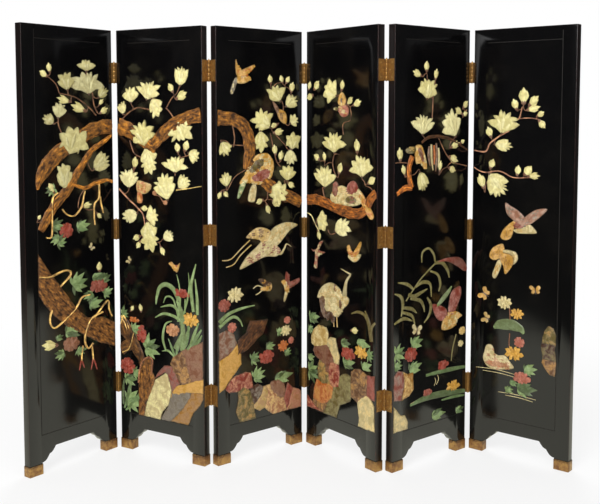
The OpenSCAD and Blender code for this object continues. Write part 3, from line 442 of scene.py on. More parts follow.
def bar(x, z, w, h, front):
    return prism("cutter", [(x, z), (x + w, z), (x + w, z + h), (x, z + h)], front, LINE_D + MM)


def without(thing, cutters, name):
    """The thing with the cutters' shapes cut out of it. The cutters go."""
    for cutter in cutters:
        modifier = thing.modifiers.new("cut", "BOOLEAN")
        modifier.object, modifier.operation, modifier.solver = cutter, "DIFFERENCE", "EXACT"
    thing = baked(thing, name)
    for cutter in cutters:
        bpy.data.objects.remove(cutter)
    return thing


for number in PANELS:
    blank = prism("panel_blank", panel_outline(), 0, PANEL_T)
    bevel(blank, EDGE_BEVEL, 3, 35)
    cutters = []
    for front in (-MM, PANEL_T - LINE_D):
        cutters += [bar(STILE_W, z, PANEL_W - 2 * STILE_W, LINE_W, front)
                    for z in (BOARD_LOW - LINE_W, BOARD_HIGH)]
        cutters += [bar(x, BOARD_LOW - LINE_W, LINE_W, PANEL_H, front)
                    for outer, x in ((1, STILE_W - LINE_W), (6, PANEL_W - STILE_W)) if outer == number]
    blank = without(blank, cutters, "blank")
    store(blank.data, "own_place", [v.co for v in blank.data.vertices])
    piece = settle(blank, f"panel_{number}_lacquer", f"panel_{number}", lacquer,
                   [f"panel_{number}_{part}" for part in UNDER_LACQUER], places[number], smooth=30)
print("last lacquered body has", len(piece.data.polygons), "faces")

# %% [markdown]
# The feet wear caps of thin sheet brass. They were never polished again, so they are mottled: gold
# where the metal is clean, orange and red-brown where it has tarnished, and darker along the top.
# Brass is a metal, but tarnish isn't, so Metallic follows the same pattern as the colour.

# %% Old brass
def brass_paint(name, clean, tarnish, dark, patch, polish, grimy=None):
    """Brass with patches of tarnish. Between the two heights in grimy it turns dark."""
    paint = Paint(name)
    large, small = paint.noise(patch, 5, 0.62, 0.6), paint.noise(patch * 5, 4, 0.6)
    worn = (large * 0.75 + small * 0.25).ramp(0.36, 0.66)
    spots = paint.noise(patch * 9, 3, 0.7).ramp(0.58, 0.72)
    colour = paint.mix(spots * 0.6, paint.mix(worn, clean, tarnish), dark)
    if grimy:
        height, = paint.where.axes("Z")
        grime = (height + large * 0.016).ramp(*grimy) * (0.35 + 0.65 * small.ramp(0.4, 0.6))
        colour = paint.mix(grime, colour, dark)
    return paint.finish(Base_Color=colour, Metallic=polish - worn * 0.45 - spots * 0.2,
                        Roughness=0.30 + worn * 0.22 + spots * 0.1,
                        Normal=paint.bump(large + small * 0.3, 0.3, 0.0012))


cap_brass = brass_paint("cap_brass", rgb(178, 138, 82), rgb(122, 80, 46), rgb(58, 36, 24), 46, 0.75,
                        (0.034, 0.052))
hinge_brass = brass_paint("hinge_brass", rgb(176, 132, 70), rgb(122, 84, 40), rgb(56, 38, 24), 60, 0.8)
screw_brass = brass_paint("screw_brass", rgb(206, 172, 104), rgb(150, 112, 62), rgb(60, 42, 26), 150, 0.9)
print("brass for", cap_brass.name, hinge_brass.name, screw_brass.name)

# %% Foot caps, folded from sheet
CAP_WALL, CAP_H, CAP_GAP, CAP_SOFT = 0.002, 0.043, 0.0002, 0.0006


def rounded_ring(x0, x1, out, radius, z, steps=4):
    """A rectangle round a foot, with round corners, as a ring of points at one height."""
    (left, right), (front, rear), ring = (x0 - out, x1 + out), (-out, PANEL_T + out), []
    for corner, (x, y) in enumerate([(right, rear), (left, rear), (left, front), (right, front)]):
        cx = x - radius if x == right else x + radius
        cy = y - radius if y == rear else y + radius
        for step in range(steps + 1):
            angle = math.pi / 2 * (corner + step / steps)
            ring.append((cx + radius * math.cos(angle), cy + radius * math.sin(angle), z))
    return ring


def cap_rings(x0, x1):
    """The cap's skin as rings of (distance from the foot, corner radius, height): up outside, down inside."""
    wide = CAP_WALL + CAP_GAP
    return [rounded_ring(x0, x1, *ring) for ring in (
        (wide - CAP_SOFT, 0.0016, 0), (wide, 0.0022, CAP_SOFT), (wide, 0.0022, CAP_H - CAP_SOFT),
        (wide - CAP_SOFT, 0.0016, CAP_H), (CAP_GAP + CAP_SOFT / 2, 0.0005, CAP_H),
        (CAP_GAP, 0.0002, CAP_H - CAP_SOFT), (CAP_GAP, 0.0002, CAP_WALL))]


def join(things):
    """Several drawn things as one."""
    with bpy.context.temp_override(active_object=things[0], selected_editable_objects=things):
        bpy.ops.object.join()
    return things[0]


for number in PANELS:
    caps = join([shell("cap", cap_rings(x, x + STILE_W)) for x in (0, PANEL_W - STILE_W)])
    settle(caps, f"panel_{number}_brass_caps", f"panel_{number}", cap_brass,
           [f"panel_{number}_foot_caps"], places[number])
print("12 caps,", round(CAP_H / MM), "mm high")

# %% [markdown]
# Hinge leaves and pins have their right shape in the CAD frame already, down to the knuckles and
# the countersunk holes. A copy of each is merged from its loose triangles and its edges are
# softened, because stamped brass has no razor edges and a soft edge is what catches the light.
# The leaf's edge next to the other leaf's knuckle gets the hollow lip that a real one is filed to,
# which follows the knuckle at the CAD's own clearance. Without it, white light shows through.

# %% The lips of the hinge leaves
HINGE_ZS, HINGE_H, KNUCKLES = (0.296, 0.972, 1.648), 0.088, 5
PIN_OUT, PIN_FRONT, PIN_BACK, KNUCKLE_CLEAR, LEAF_T, THIN = 0.005, 0.010, 0.006, 0.0053, 0.002, 0.00003


def lips(number):
    """The lips of one panel's leaves, drawn in the panel's own place and stood up."""
    made, step = [], HINGE_H / KNUCKLES
    arc = [(x, math.sqrt(KNUCKLE_CLEAR ** 2 - (PIN_OUT - x) ** 2)) for x in np.linspace(THIN, LEAF_T - THIN, 5)]
    section = arc + [(x, KNUCKLE_CLEAR + MM) for x in (LEAF_T - THIN, THIN)]
    for right, joint in ((False, number - 1), (True, number)):
        if joint not in range(1, 6):
            continue
        ends = [PANEL_W + x if right else -x for x, _ in section]
        depths = [away - PIN_FRONT if joint % 2 else PANEL_T + PIN_BACK - away for _, away in section]
        for middle in HINGE_ZS:
            for row in range(1 if right else 0, KNUCKLES, 2):
                z = middle - HINGE_H / 2 + row * step
                made.append(shell("lip", [[(x, y, z + rise) for x, y in zip(ends, depths)]
                                          for rise in (0, step)]))
                made[-1].data.transform(places[number])
    return made


print("a lip lies", round(KNUCKLE_CLEAR / MM, 1), "mm from the middle of its pin")

# %% Hinge leaves and pins
MERGE, FLAT_ANGLE = 1e-6, 1


def softened(node, name, body, material, width, more=()):
    """A CAD node's own shape as a piece, with its edges softened."""
    copy = put(name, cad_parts[node].data.copy())
    shape = bmesh.new()
    shape.from_mesh(copy.data)
    bmesh.ops.remove_doubles(shape, verts=shape.verts, dist=MERGE)
    bmesh.ops.dissolve_limit(shape, angle_limit=math.radians(FLAT_ANGLE), verts=shape.verts, edges=shape.edges)
    shape.to_mesh(copy.data)
    shape.free()
    join([copy, *more])
    bevel(copy, width, 2, 40)
    return settle(copy, name, body, material, [node])


for number in PANELS:
    softened(f"panel_{number}_hinge_leaves", f"panel_{number}_leaves", f"panel_{number}",
             hinge_brass, 0.00025, lips(number))
for number in PANELS[:-1]:
    piece = softened(f"hinge_pins_{number}_{number + 1}", f"pins_{number}_{number + 1}",
                     f"panel_{number}", screw_brass, 0.00015)
print("hinge pins have", len(piece.data.polygons), "faces")

# %% [markdown]
# Every hinge leaf is held by three slotted screws, ninety in all. One screw is modelled, with its
# countersunk head and slot, and Geometry Nodes put a copy on every point. The points are the heads'
# places in the CAD frame, and each keeps the turn of its own screw, since no two slots line up.

# %% One slotted screw
SCREW_L, SCREW_R, SCREW_HEAD_R, SLOT_W, SLOT_D = 0.024, 0.0019, 0.0038, 0.0008, 0.0009


def screw_shape():
    """A countersunk wood screw that points along +X, with its head's face at 0."""
    profile = [(0.0002, SCREW_HEAD_R - 0.0003), (0.0004, SCREW_HEAD_R), (LEAF_T, SCREW_R),
               (SCREW_L * 0.7, SCREW_R), (SCREW_L - 0.0002, SCREW_R * 0.4)]
    turns = np.linspace(0, 2 * math.pi, 20, endpoint=False)
    blank = shell("screw_blank", [[(x, r * math.cos(a), r * math.sin(a)) for a in turns] for x, r in profile])
    half = SLOT_W / 2
    slot = prism("slot", [(-MM, -half), (SLOT_D, -half), (SLOT_D, half), (-MM, half)], -0.005, 0.01)
    return without(blank, [slot], "screw_unit")


print("screws", round(SCREW_L / MM), "mm long")


# %% A tree that puts a shape on every point
class Tree(Nodes):
    """A Geometry Nodes tree, with named inputs besides its geometry."""

    def __init__(self, name, **inputs):
        super().__init__(bpy.data.node_groups.new(name, "GeometryNodeTree"))
        sockets = self.tree.interface
        for way in ("INPUT", "OUTPUT"):
            sockets.new_socket("Geometry", in_out=way, socket_type="NodeSocketGeometry")
        for key, kind in {**inputs, "Material": "Material"}.items():
            sockets.new_socket(key, in_out="INPUT", socket_type="NodeSocket" + kind)
        entry = self.tree.nodes.new("NodeGroupInput")
        self.given = {s.name: Wire(self, s) for s in entry.outputs if s.name}

    def named(self, name, kind="FLOAT"):
        return self.add("GeometryNodeInputNamedAttribute", {"data_type": kind}, {"Name": name}, "Attribute")

    def finish(self, geometry):
        """Hands out the geometry with its material."""
        painted = self.add("GeometryNodeSetMaterial", {},
                           {"Geometry": geometry, "Material": self.given["Material"]})
        self.tree.links.new(painted.socket, self.tree.nodes.new("NodeGroupOutput").inputs["Geometry"])

    def run(self, thing, name, **values):
        """The result of the tree on a thing's mesh, with its named inputs set."""
        modifier = thing.modifiers.new("tree", "NODES")
        modifier.node_group = self.tree
        for item in self.tree.interface.items_tree:
            if item.name in values:
                modifier[item.identifier] = values[item.name]
        return baked(thing, name)


def scatter_tree():
    """Sets a shape on each point, with the point's own turn and size, and a small random lean."""
    tree = Tree("scatter", Shape="Object", Lean="Float", Seed="Int")
    shape = tree.add("GeometryNodeObjectInfo", {"transform_space": "ORIGINAL"}, {"Object": tree.given["Shape"]},
                     "Geometry")
    turn, size = tree.named("turn", "FLOAT_VECTOR"), tree.named("size", "FLOAT_VECTOR")
    lean = tree.add("FunctionNodeRandomValue", {"data_type": "FLOAT_VECTOR"},
                    {"Min": (-1, -1, -1), "Max": (1, 1, 1), "Seed": tree.given["Seed"]})
    turn = turn.vector("ADD", {1: lean.vector("SCALE", {"Scale": tree.given["Lean"]})})
    placed = tree.add("GeometryNodeInstanceOnPoints", {}, {
        "Points": tree.given["Geometry"], "Instance": shape,
        "Rotation": tree.add("FunctionNodeEulerToRotation", {}, {"Euler": turn}), "Scale": size})
    tree.finish(tree.add("GeometryNodeRealizeInstances", {}, {"Geometry": placed}))
    return tree


scatter = scatter_tree()
print("scatter tree has", len(scatter.tree.nodes), "nodes")


# %% All the screws
def screw_heads(number):
    """The middle of every screw head on a panel in CAD, and whether its screw goes towards +X."""
    shape = bmesh.new()
    shape.from_mesh(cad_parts[f"panel_{number}_hinge_screws"].data)
    shape.transform(places[number].inverted())
    bmesh.ops.remove_doubles(shape, verts=shape.verts, dist=MERGE)
    heads, left = [], set(shape.verts)
    while left:
        island, front = set(), [left.pop()]
        while front:
            vertex = front.pop()
            island.add(vertex)
            near = {e.other_vert(vertex) for e in vertex.link_edges} & left
            left -= near
            front += near
        low, high = [pick([v.co for v in island], axis=0) for pick in (np.min, np.max)]
        inwards = high[0] < PANEL_W / 2
        heads.append(((low[0] if inwards else high[0], (low[1] + high[1]) / 2, (low[2] + high[2]) / 2), inwards))
    shape.free()
    return sorted(heads)


unit_screw, dice = screw_shape(), random.Random(7)
for number in PANELS:
    heads = screw_heads(number)
    points = draw("heads", [p for p, _ in heads], [], size=[(1, 1, 1)] * len(heads),
                  turn=[(dice.uniform(-1.2, 1.2), 0, 0 if inwards else math.pi) for _, inwards in heads])
    screws = scatter.run(points, "screws", Shape=unit_screw, Material=screw_brass, Lean=0.01, Seed=number)
    settle(screws, f"panel_{number}_screws", f"panel_{number}", screw_brass,
           [f"panel_{number}_hinge_screws"], places[number])
bpy.data.objects.remove(unit_screw)
print("screws on panel 6:", len(heads))

# %% [markdown]
# The carving is described in plain numbers before any of it is modelled, in millimetres across and
# up the panel, so that it agrees with the CAD solids. Each table below is a text whose rows start
# with the panel's number. Words in a row name the kind and the stones, and groups of numbers with
# commas are places and sizes. An indented line goes on with the row above it, and a bar starts
# another shape of the same kind and stone.

# %% Reading a table of the drawing
def table(text):
    """The rows of a table for each panel, each with its words and a list of its number groups."""
    rows = {number: [] for number in PANELS}
    for row in text.strip().replace("\n  ", " ").split("\n"):
        number, *words = [part for part in row.replace("|", "").split() if "," not in part]
        for shape in row.split("|"):
            groups = [tuple(map(int, part.split(","))) for part in shape.split() if "," in part]
            rows[int(number)].append((*words, groups))
    return rows


def places_in(text):
    """A table in which every number group is a flower or a leaf of its own, with the row's words."""
    return {number: [(*group, *words) for *words, groups in rows for group in groups]
            for number, rows in table(text).items()}


def count_of(rows):
    return sum(map(len, rows.values()))


print("a row is read as", table("1 twig vine 10,20,5 30,25,4")[1])

# %% [markdown]
# An open magnolia has a middle, a width and height, the direction that it opens in and how far its
# petals spread. A bud has a length, a width and a direction, and a lobed leaf a width and height.

# %% Magnolias: x, z, width, height, opening direction, spread
MAGNOLIAS = places_in("""
1 320,1674,94,52,90,100 215,1605,96,74,100,100 327,1600,180,92,95,110 403,1563,64,54,45,80 176,1487,72,66,80,90
   127,1450,60,50,140,80 242,1361,174,112,70,150 390,1265,96,100,35,65 196,1218,80,114,95,90
2 350,1626,103,78,85,60 78,1553,98,68,95,100 177,1570,132,78,75,100 216,1500,70,96,-60,100 30,1498,52,56,100,80
   143,1388,130,106,105,120 340,1405,150,100,-60,120 413,1302,58,66,-20,80 315,1261,134,68,90,105
   174,1271,92,128,-75,120 62,1195,118,84,90,95 260,1168,117,118,105,100 357,1188,80,62,45,65
   67,1032,98,58,200,70 188,1039,68,86,15,90 174,946,94,148,-80,140 274,960,64,52,30,70
3 314,1560,114,74,120,100 393,1526,76,62,40,70 238,1447,124,90,140,130 231,1354,72,98,-85,110
   410,1443,50,58,30,100 404,1354,92,76,80,140 390,1285,76,70,-90,80 376,1216,105,68,85,95
   325,1132,100,112,-40,150 42,1330,70,66,-60,80 45,1202,60,62,100,90
4 162,1571,94,106,150,110 186,1350,150,86,95,105 127,1202,155,92,90,95 362,1257,158,90,95,110
   110,1008,76,100,-10,120 241,997,117,76,25,75
5 195,1574,132,84,80,110 167,1426,140,80,85,95 346,1430,130,116,115,100 167,1195,72,90,-65,60
6 142,1436,138,96,80,105 142,1340,82,48,-5,60 114,1175,102,122,-50,80
""")
print("magnolias", count_of(MAGNOLIAS))

# %% Buds (x, z, length, width, direction) and lobed leaves (x, z, width, height, direction)
BUDS = places_in("""
1 131,1658,40,24,100 103,1633,42,28,150 395,1522,36,14,50 410,1486,50,24,30 200,1530,72,24,165
   275,1497,84,30,160 131,1171,48,34,120 69,1056,22,20,60 310,1087,52,20,10 375,1039,36,18,-45 372,818,42,34,90
   107,526,80,34,170
2 297,1580,42,30,120 353,1547,64,34,25 329,1332,42,30,100 374,1340,48,36,70 98,1264,54,32,80 147,1070,42,24,0
   102,942,44,28,200 112,911,38,24,240 243,894,42,24,-60 71,629,30,18,60 119,636,36,20,100
3 280,1619,38,28,100 342,1622,34,24,110 376,1619,34,24,60 400,1588,46,28,80 300,1423,36,24,200 324,1395,56,26,10
   304,1319,46,26,100 338,1292,46,26,80 393,1164,46,24,-30 221,1101,42,22,200 266,1066,46,22,-70
   307,1087,42,24,-40 14,1139,34,22,240 45,1142,34,22,-50
4 20,1595,38,24,70 69,1595,50,36,50 24,1547,46,30,200 239,1591,44,30,80 289,1526,46,24,40 334,1516,54,26,20
   334,1340,58,36,95 72,1285,42,34,150 124,1288,42,20,95 227,1244,50,36,70 424,1202,52,34,30 86,946,42,26,-70
   324,568,46,26,10
5 185,1667,44,32,90 129,1636,56,26,160 243,1636,46,20,80 388,1485,50,26,150 432,1512,42,26,45 430,1472,34,22,20
   415,1354,26,22,30 367,1340,62,24,20 357,1281,62,34,-20 350,1237,46,30,-20 32,1309,56,32,95 54,1244,46,20,110
   274,1254,46,20,80
6 76,1395,50,30,110 193,1512,50,30,110 231,1547,70,46,90 276,1526,58,34,45 276,1495,62,28,15 307,1471,38,24,30
   314,1430,44,30,-50 42,1185,66,36,110 90,1261,44,34,70 211,1237,44,28,80 256,1237,52,40,50 283,1216,56,22,5
""")
LEAVES = places_in("""
1 155,1014,66,54,0 282,1001,84,46,10 172,948,60,60,30 258,763,94,84,15 365,775,104,34,0 412,702,56,46,20
   340,664,80,50,10 222,566,112,56,5 132,1163,56,46,200 152,548,44,26,20 150,958,60,46,200 318,702,60,40,200
   402,764,56,46,60 262,470,66,40,-30 162,476,60,40,200
2 88,537,56,60,0 172,470,96,100,15 50,313,72,52,5 68,225,96,106,20 90,345,50,60,0 26,600,40,70,10
3 192,427,56,56,10 273,468,58,36,0 210,352,80,66,20 340,320,128,46,5 330,523,40,40,10 372,424,46,34,15
4 48,578,84,48,10 30,523,50,36,0 262,502,76,36,5 282,420,100,44,15 370,520,100,34,0 420,480,40,60,10
   392,430,86,34,20 48,335,92,84,5 30,395,56,30,15
5 132,523,76,52,10 36,492,66,70,0 125,418,104,46,15 28,440,50,40,5 270,189,100,44,0 412,182,66,28,10
6 276,399,72,46,10 259,312,110,62,5 184,296,44,34,15 205,330,50,26,0
""")
print("buds", count_of(BUDS), "leaves", count_of(LEAVES))

# %% Peonies (stone, then x, z, width, height) and insects (stone, then x, z, size, direction)
PEONIES = places_in("""
1 red 202,991,70,66
1 rose 365,736,100,58
1 clay 216,512,90,66
2 red 345,722,84,38
2 gold 390,615,86,62
2 peach 295,560,74,56
2 red 123,523,56,80
2 peach 205,1138,24,20 262,1100,24,20
2 orange 81,581,62,24
2 red 42,372,84,76
3 cream 90,715,82,64
3 rose 34,677,64,56
3 pink 73,578,48,46
3 red 256,423,86,62
3 orange 348,457,58,50
3 pink 393,475,32,32
3 cream 362,523,66,46
3 pink 372,568,38,32
4 red 282,461,96,56
4 gold 365,485,82,58
5 red 105,478,76,62 305,399,76,40
5 rose 209,297,60,30
5 gold 374,296,90,46
5 sand 429,530,44,36
5 cream 419,475,36,30
6 cream 159,670,70,56
6 gold 218,629,64,46
6 pink 231,509,50,46
6 gold 207,457,86,60
6 pink 245,358,82,52
""")
INSECTS = places_in("""
1 cream 330,905,34,40
2 cream 60,838,34,150
5 cream 140,570,62,80
6 gold 70,695,62,150 300,736,52,100
6 sand 78,592,50,160
""")
print("peonies", count_of(PEONIES), "insects", count_of(INSECTS))

# %% [markdown]
# Stems, vines, reeds and the big branches are lines that have a width at every point. Each row is
# one line, with what it is and the stone that it is cut from.

# %% Lines: kind, stone, then points of x, z, width
LINES = table("""
1 trunk bark 451,1418,64 400,1415,62 330,1398,62 240,1352,60 160,1305,66 105,1255,66 75,1205,40 63,1168,8 |
   451,1381,12 406,1354,22 344,1319,26 289,1257,32 241,1195,40 200,1147,44 165,1115,44 130,1080,42 100,1040,46
   75,1000,30 | 240,1180,14 303,1161,16 358,1178,18 413,1188,16 451,1181,14
1 twig twig 375,1478,10 358,1510,8 350,1560,7 | 368,1466,9 330,1500,8 262,1540,7 180,1556,6 | 188,1392,8
   172,1430,7 174,1460,6
1 vine vine 162,1150,6 138,1132,6 131,1090,6 131,1008,6 124,970,6 103,970,6 | 183,1080,6 207,1056,6 245,1049,6
   282,1084,6 300,1150,6 | 377,1175,7 375,1115,7 351,1090,6 348,1042,6 351,1001,5 | 382,1120,6 386,1090,6
   398,1049,5 | 62,815,8 114,808,8 193,825,8 220,805,8 165,760,7 | 121,670,7 110,629,7 124,598,7 155,600,7
   241,657,7 275,698,7 317,705,6 | 386,619,8 324,599,8 293,550,8 289,502,8 306,475,8 331,492,7 | 340,600,6
   413,663,6 422,625,6 438,592,6 | 276,492,5 270,460,5 268,428,5 | 324,482,5 328,450,5 330,420,5
1 tassel red 268,434,8 262,412,7 256,390,4 | 270,430,6 277,412,6 283,396,4 | 330,426,7 325,402,6 318,380,4 |
   331,426,7 342,402,7 351,374,4
2 trunk bark 6,1420,70 60,1405,66 130,1370,60 190,1335,50 215,1325,46 | 190,1330,40 240,1378,56 300,1420,60
   370,1450,56 451,1470,62
2 twig twig 30,1450,9 70,1480,9 115,1498,9 170,1492,8 215,1480,6 | 270,1497,8 292,1478,8 310,1455,7 | 275,1500,7
   300,1535,7 330,1560,7 345,1590,7 | 70,1360,9 85,1320,8 100,1300,7 140,1285,6 | 200,1130,7 230,1125,6
   250,1100,5 | 345,1290,6 380,1300,6 400,1306,5 | 135,980,7 136,940,6 140,925,6
2 twig blush 6,1148,12 60,1105,10 110,1070,9 140,1040,8 150,985,8
2 twig sand 320,1155,6 370,1162,6 451,1176,4
2 blade jade 330,690,24 300,735,22 260,752,20 225,735,18 210,695,14 205,662,5 | 345,610,16 320,650,14 285,665,12
   230,652,4 | 350,600,16 300,620,14 245,625,12 200,604,4 | 405,650,16 392,745,18 402,795,14 420,852,5 |
   425,640,16 424,710,14 415,790,5 | 350,590,40 340,640,26 318,690,12 | 255,470,8 240,520,12 255,580,10
   290,598,4 | 310,480,30 330,520,24 348,560,8 | 322,600,7 335,680,9 332,750,6 318,800,2 | 340,600,7 372,690,9
   384,760,6 380,812,2 | 330,600,7 300,690,8 262,700,7 246,672,3 | 300,446,8 268,468,10 236,462,3 | 350,482,16
   366,530,26 384,584,6 | 340,478,14 348,545,26 345,606,18 | 384,490,12 404,545,18 432,606,5
2 blade leaf 398,496,10 428,524,16 448,556,5 | 366,500,8 378,560,14 372,618,6
2 stem jade 360,640,8 362,700,6
2 root root 6,440,50 60,470,50 105,440,40 | 6,555,80 50,515,66 95,452,54 124,404,40 140,360,44
2 blade leaf 309,440,8 290,480,12 270,520,3 | 312,440,8 318,485,12 334,528,3 | 372,486,14 410,530,22 446,580,6 |
   20,180,8 38,230,20 56,290,16 70,332,3 | 28,172,8 70,212,20 98,244,14 114,272,3
2 blade moss 15,196,8 12,250,16 20,312,3
2 vine vine 8,590,8 30,560,8 45,530,7 | 8,556,6 22,592,6 38,572,5 54,540,5 | 16,430,6 50,448,6 70,488,6 80,524,5
2 vine clay 104,306,8 110,360,9 128,402,9 156,424,9 180,418,8 181,385,7 174,350,5
3 trunk bark 6,1456,66 73,1453,56 130,1428,58 162,1380,60 170,1320,58 160,1270,50 152,1240,30 | 170,1270,44
   220,1215,50 270,1170,54 340,1128,56 400,1108,52 451,1082,48
3 twig twig 80,1430,8 92,1370,8 85,1335,7 | 70,1345,6 110,1342,6 150,1340,8 | 345,1525,6 352,1500,6 345,1470,6 |
   290,1400,6 330,1365,7 360,1340,6 | 280,1390,6 310,1280,6 335,1245,6 | 265,1150,7 262,1110,7 240,1100,5
3 leg sand 169,939,6 120,905,5 70,868,5 25,866,4 | 176,918,6 120,880,5 85,845,5 45,836,4
3 neck cream 307,880,14 335,866,12 355,885,9 369,905,6 395,892,2
3 blade jade 8,606,20 52,636,16 120,652,12 192,657,4 | 8,588,16 75,622,14 112,605,10 128,575,4
3 feather cream 236,730,5 208,740,6 185,730,3 | 238,720,5 214,706,5 198,702,3
4 branch copper 6,1094,46 70,1100,46 138,1090,46 241,1066,48 340,1062,44 390,1085,42 420,1130,40 451,1155,36
4 twig twig 248,1386,8 246,1430,7 290,1444,5 | 178,1265,8 190,1300,7 222,1302,6 | 338,1312,5 332,1290,5 |
   148,975,7 165,958,7 196,965,6 | 112,1155,9 118,1130,9 130,1100,9
4 twig cream 6,1037,7 34,1028,7 55,1001,7 88,962,6
4 neck cream 296,798,8 272,770,14 262,735,22 258,705,30 | 300,801,8 272,808,6 235,818,2
4 leg sand 186,610,6 190,560,6 | 208,608,6 212,562,6
4 reed olive 303,636,5 344,650,12 386,643,14 413,606,8 | 388,662,6 405,630,18 418,590,24 428,540,20 | 451,622,10
   430,600,14 424,570,14
5 twig twig 188,1622,6 195,1600,6 | 226,1550,9 224,1500,9 222,1455,9 | 262,1372,6 309,1306,6 357,1268,7
   451,1248,6 | 414,1456,6 440,1490,6 | 6,1275,6 40,1276,6 80,1272,6
5 branch umber 160,1354,10 198,1374,14 260,1378,14 329,1368,12 398,1340,9 451,1317,7
5 branch copper 104,1300,26 86,1257,26 88,1209,26 102,1172,28 | 102,1172,26 60,1170,24 15,1148,18
5 reed reed 167,856,4 171,898,10 209,911,10 240,884,11 250,849,8 | 250,846,14 295,842,18 329,808,16 340,774,5 |
   219,815,8 267,794,12 284,753,14 274,722,4 | 74,705,6 123,753,6 171,794,7 247,842,8 | 26,787,5 81,774,15
   120,748,10 | 129,756,8 171,772,16 219,760,14 228,705,4 | 8,743,5 44,727,16 56,695,16 47,645,6 | 88,732,12
   123,719,18 165,730,14 202,741,5 | 100,712,10 157,698,16 180,670,12 186,645,4 | 55,680,12 109,668,16 138,648,5
   | 50,662,12 109,640,14 128,602,5 | 6,618,8 61,634,16 112,618,5 | 202,705,8 226,670,16 216,629,12 185,600,5 |
   390,520,6 368,460,7 360,408,5
5 feather red 267,849,6 330,852,18 400,835,40 440,808,34 451,796,20
5 feather brown 206,1338,9 202,1300,13 212,1256,6 | 248,1350,8 252,1300,12 246,1232,5
5 feather cream 218,1346,9 220,1290,13 230,1238,5 | 262,1330,8 266,1290,12 262,1250,5
5 feather orange 234,1342,9 238,1300,12 236,1262,6
5 feather jade 256,655,8 300,685,24 335,712,20 356,734,5
5 water cream 252,318,2 262,336,3 256,352,2 | 266,320,2 280,342,3 272,362,2 | 108,268,2 150,276,3 190,274,2
5 pad leaf 200,372,12 329,372,20 451,366,14 | 104,262,10 200,275,26 320,272,30 451,258,18 | 300,246,6 380,246,14
   448,240,8
6 twig blush 6,1316,9 59,1312,10 80,1347,10 128,1381,9 169,1400,6 | 225,1500,7 215,1460,7 205,1448,7 |
   205,1452,6 260,1455,6 300,1450,5 | 6,1242,7 52,1223,7 128,1230,7 190,1206,7 273,1209,5
6 stem clay 184,650,5 186,600,5 | 186,540,5 184,490,5 196,470,5
6 pad jade 112,556,14 140,572,42 190,578,48 232,568,34 250,548,12
6 water cream 28,369,2 120,374,3 215,367,2 | 62,360,2 140,361,3 224,354,2 | 136,278,2 220,281,3 310,275,2 |
   170,270,2 235,270,3 296,264,2
""")
print("lines", count_of(LINES))

# %% [markdown]
# Rocks, birds and the thick roots are flat stones with an outline of their own. Each has a main
# stone and a second colour, which shows in its mottling or in its feathers.

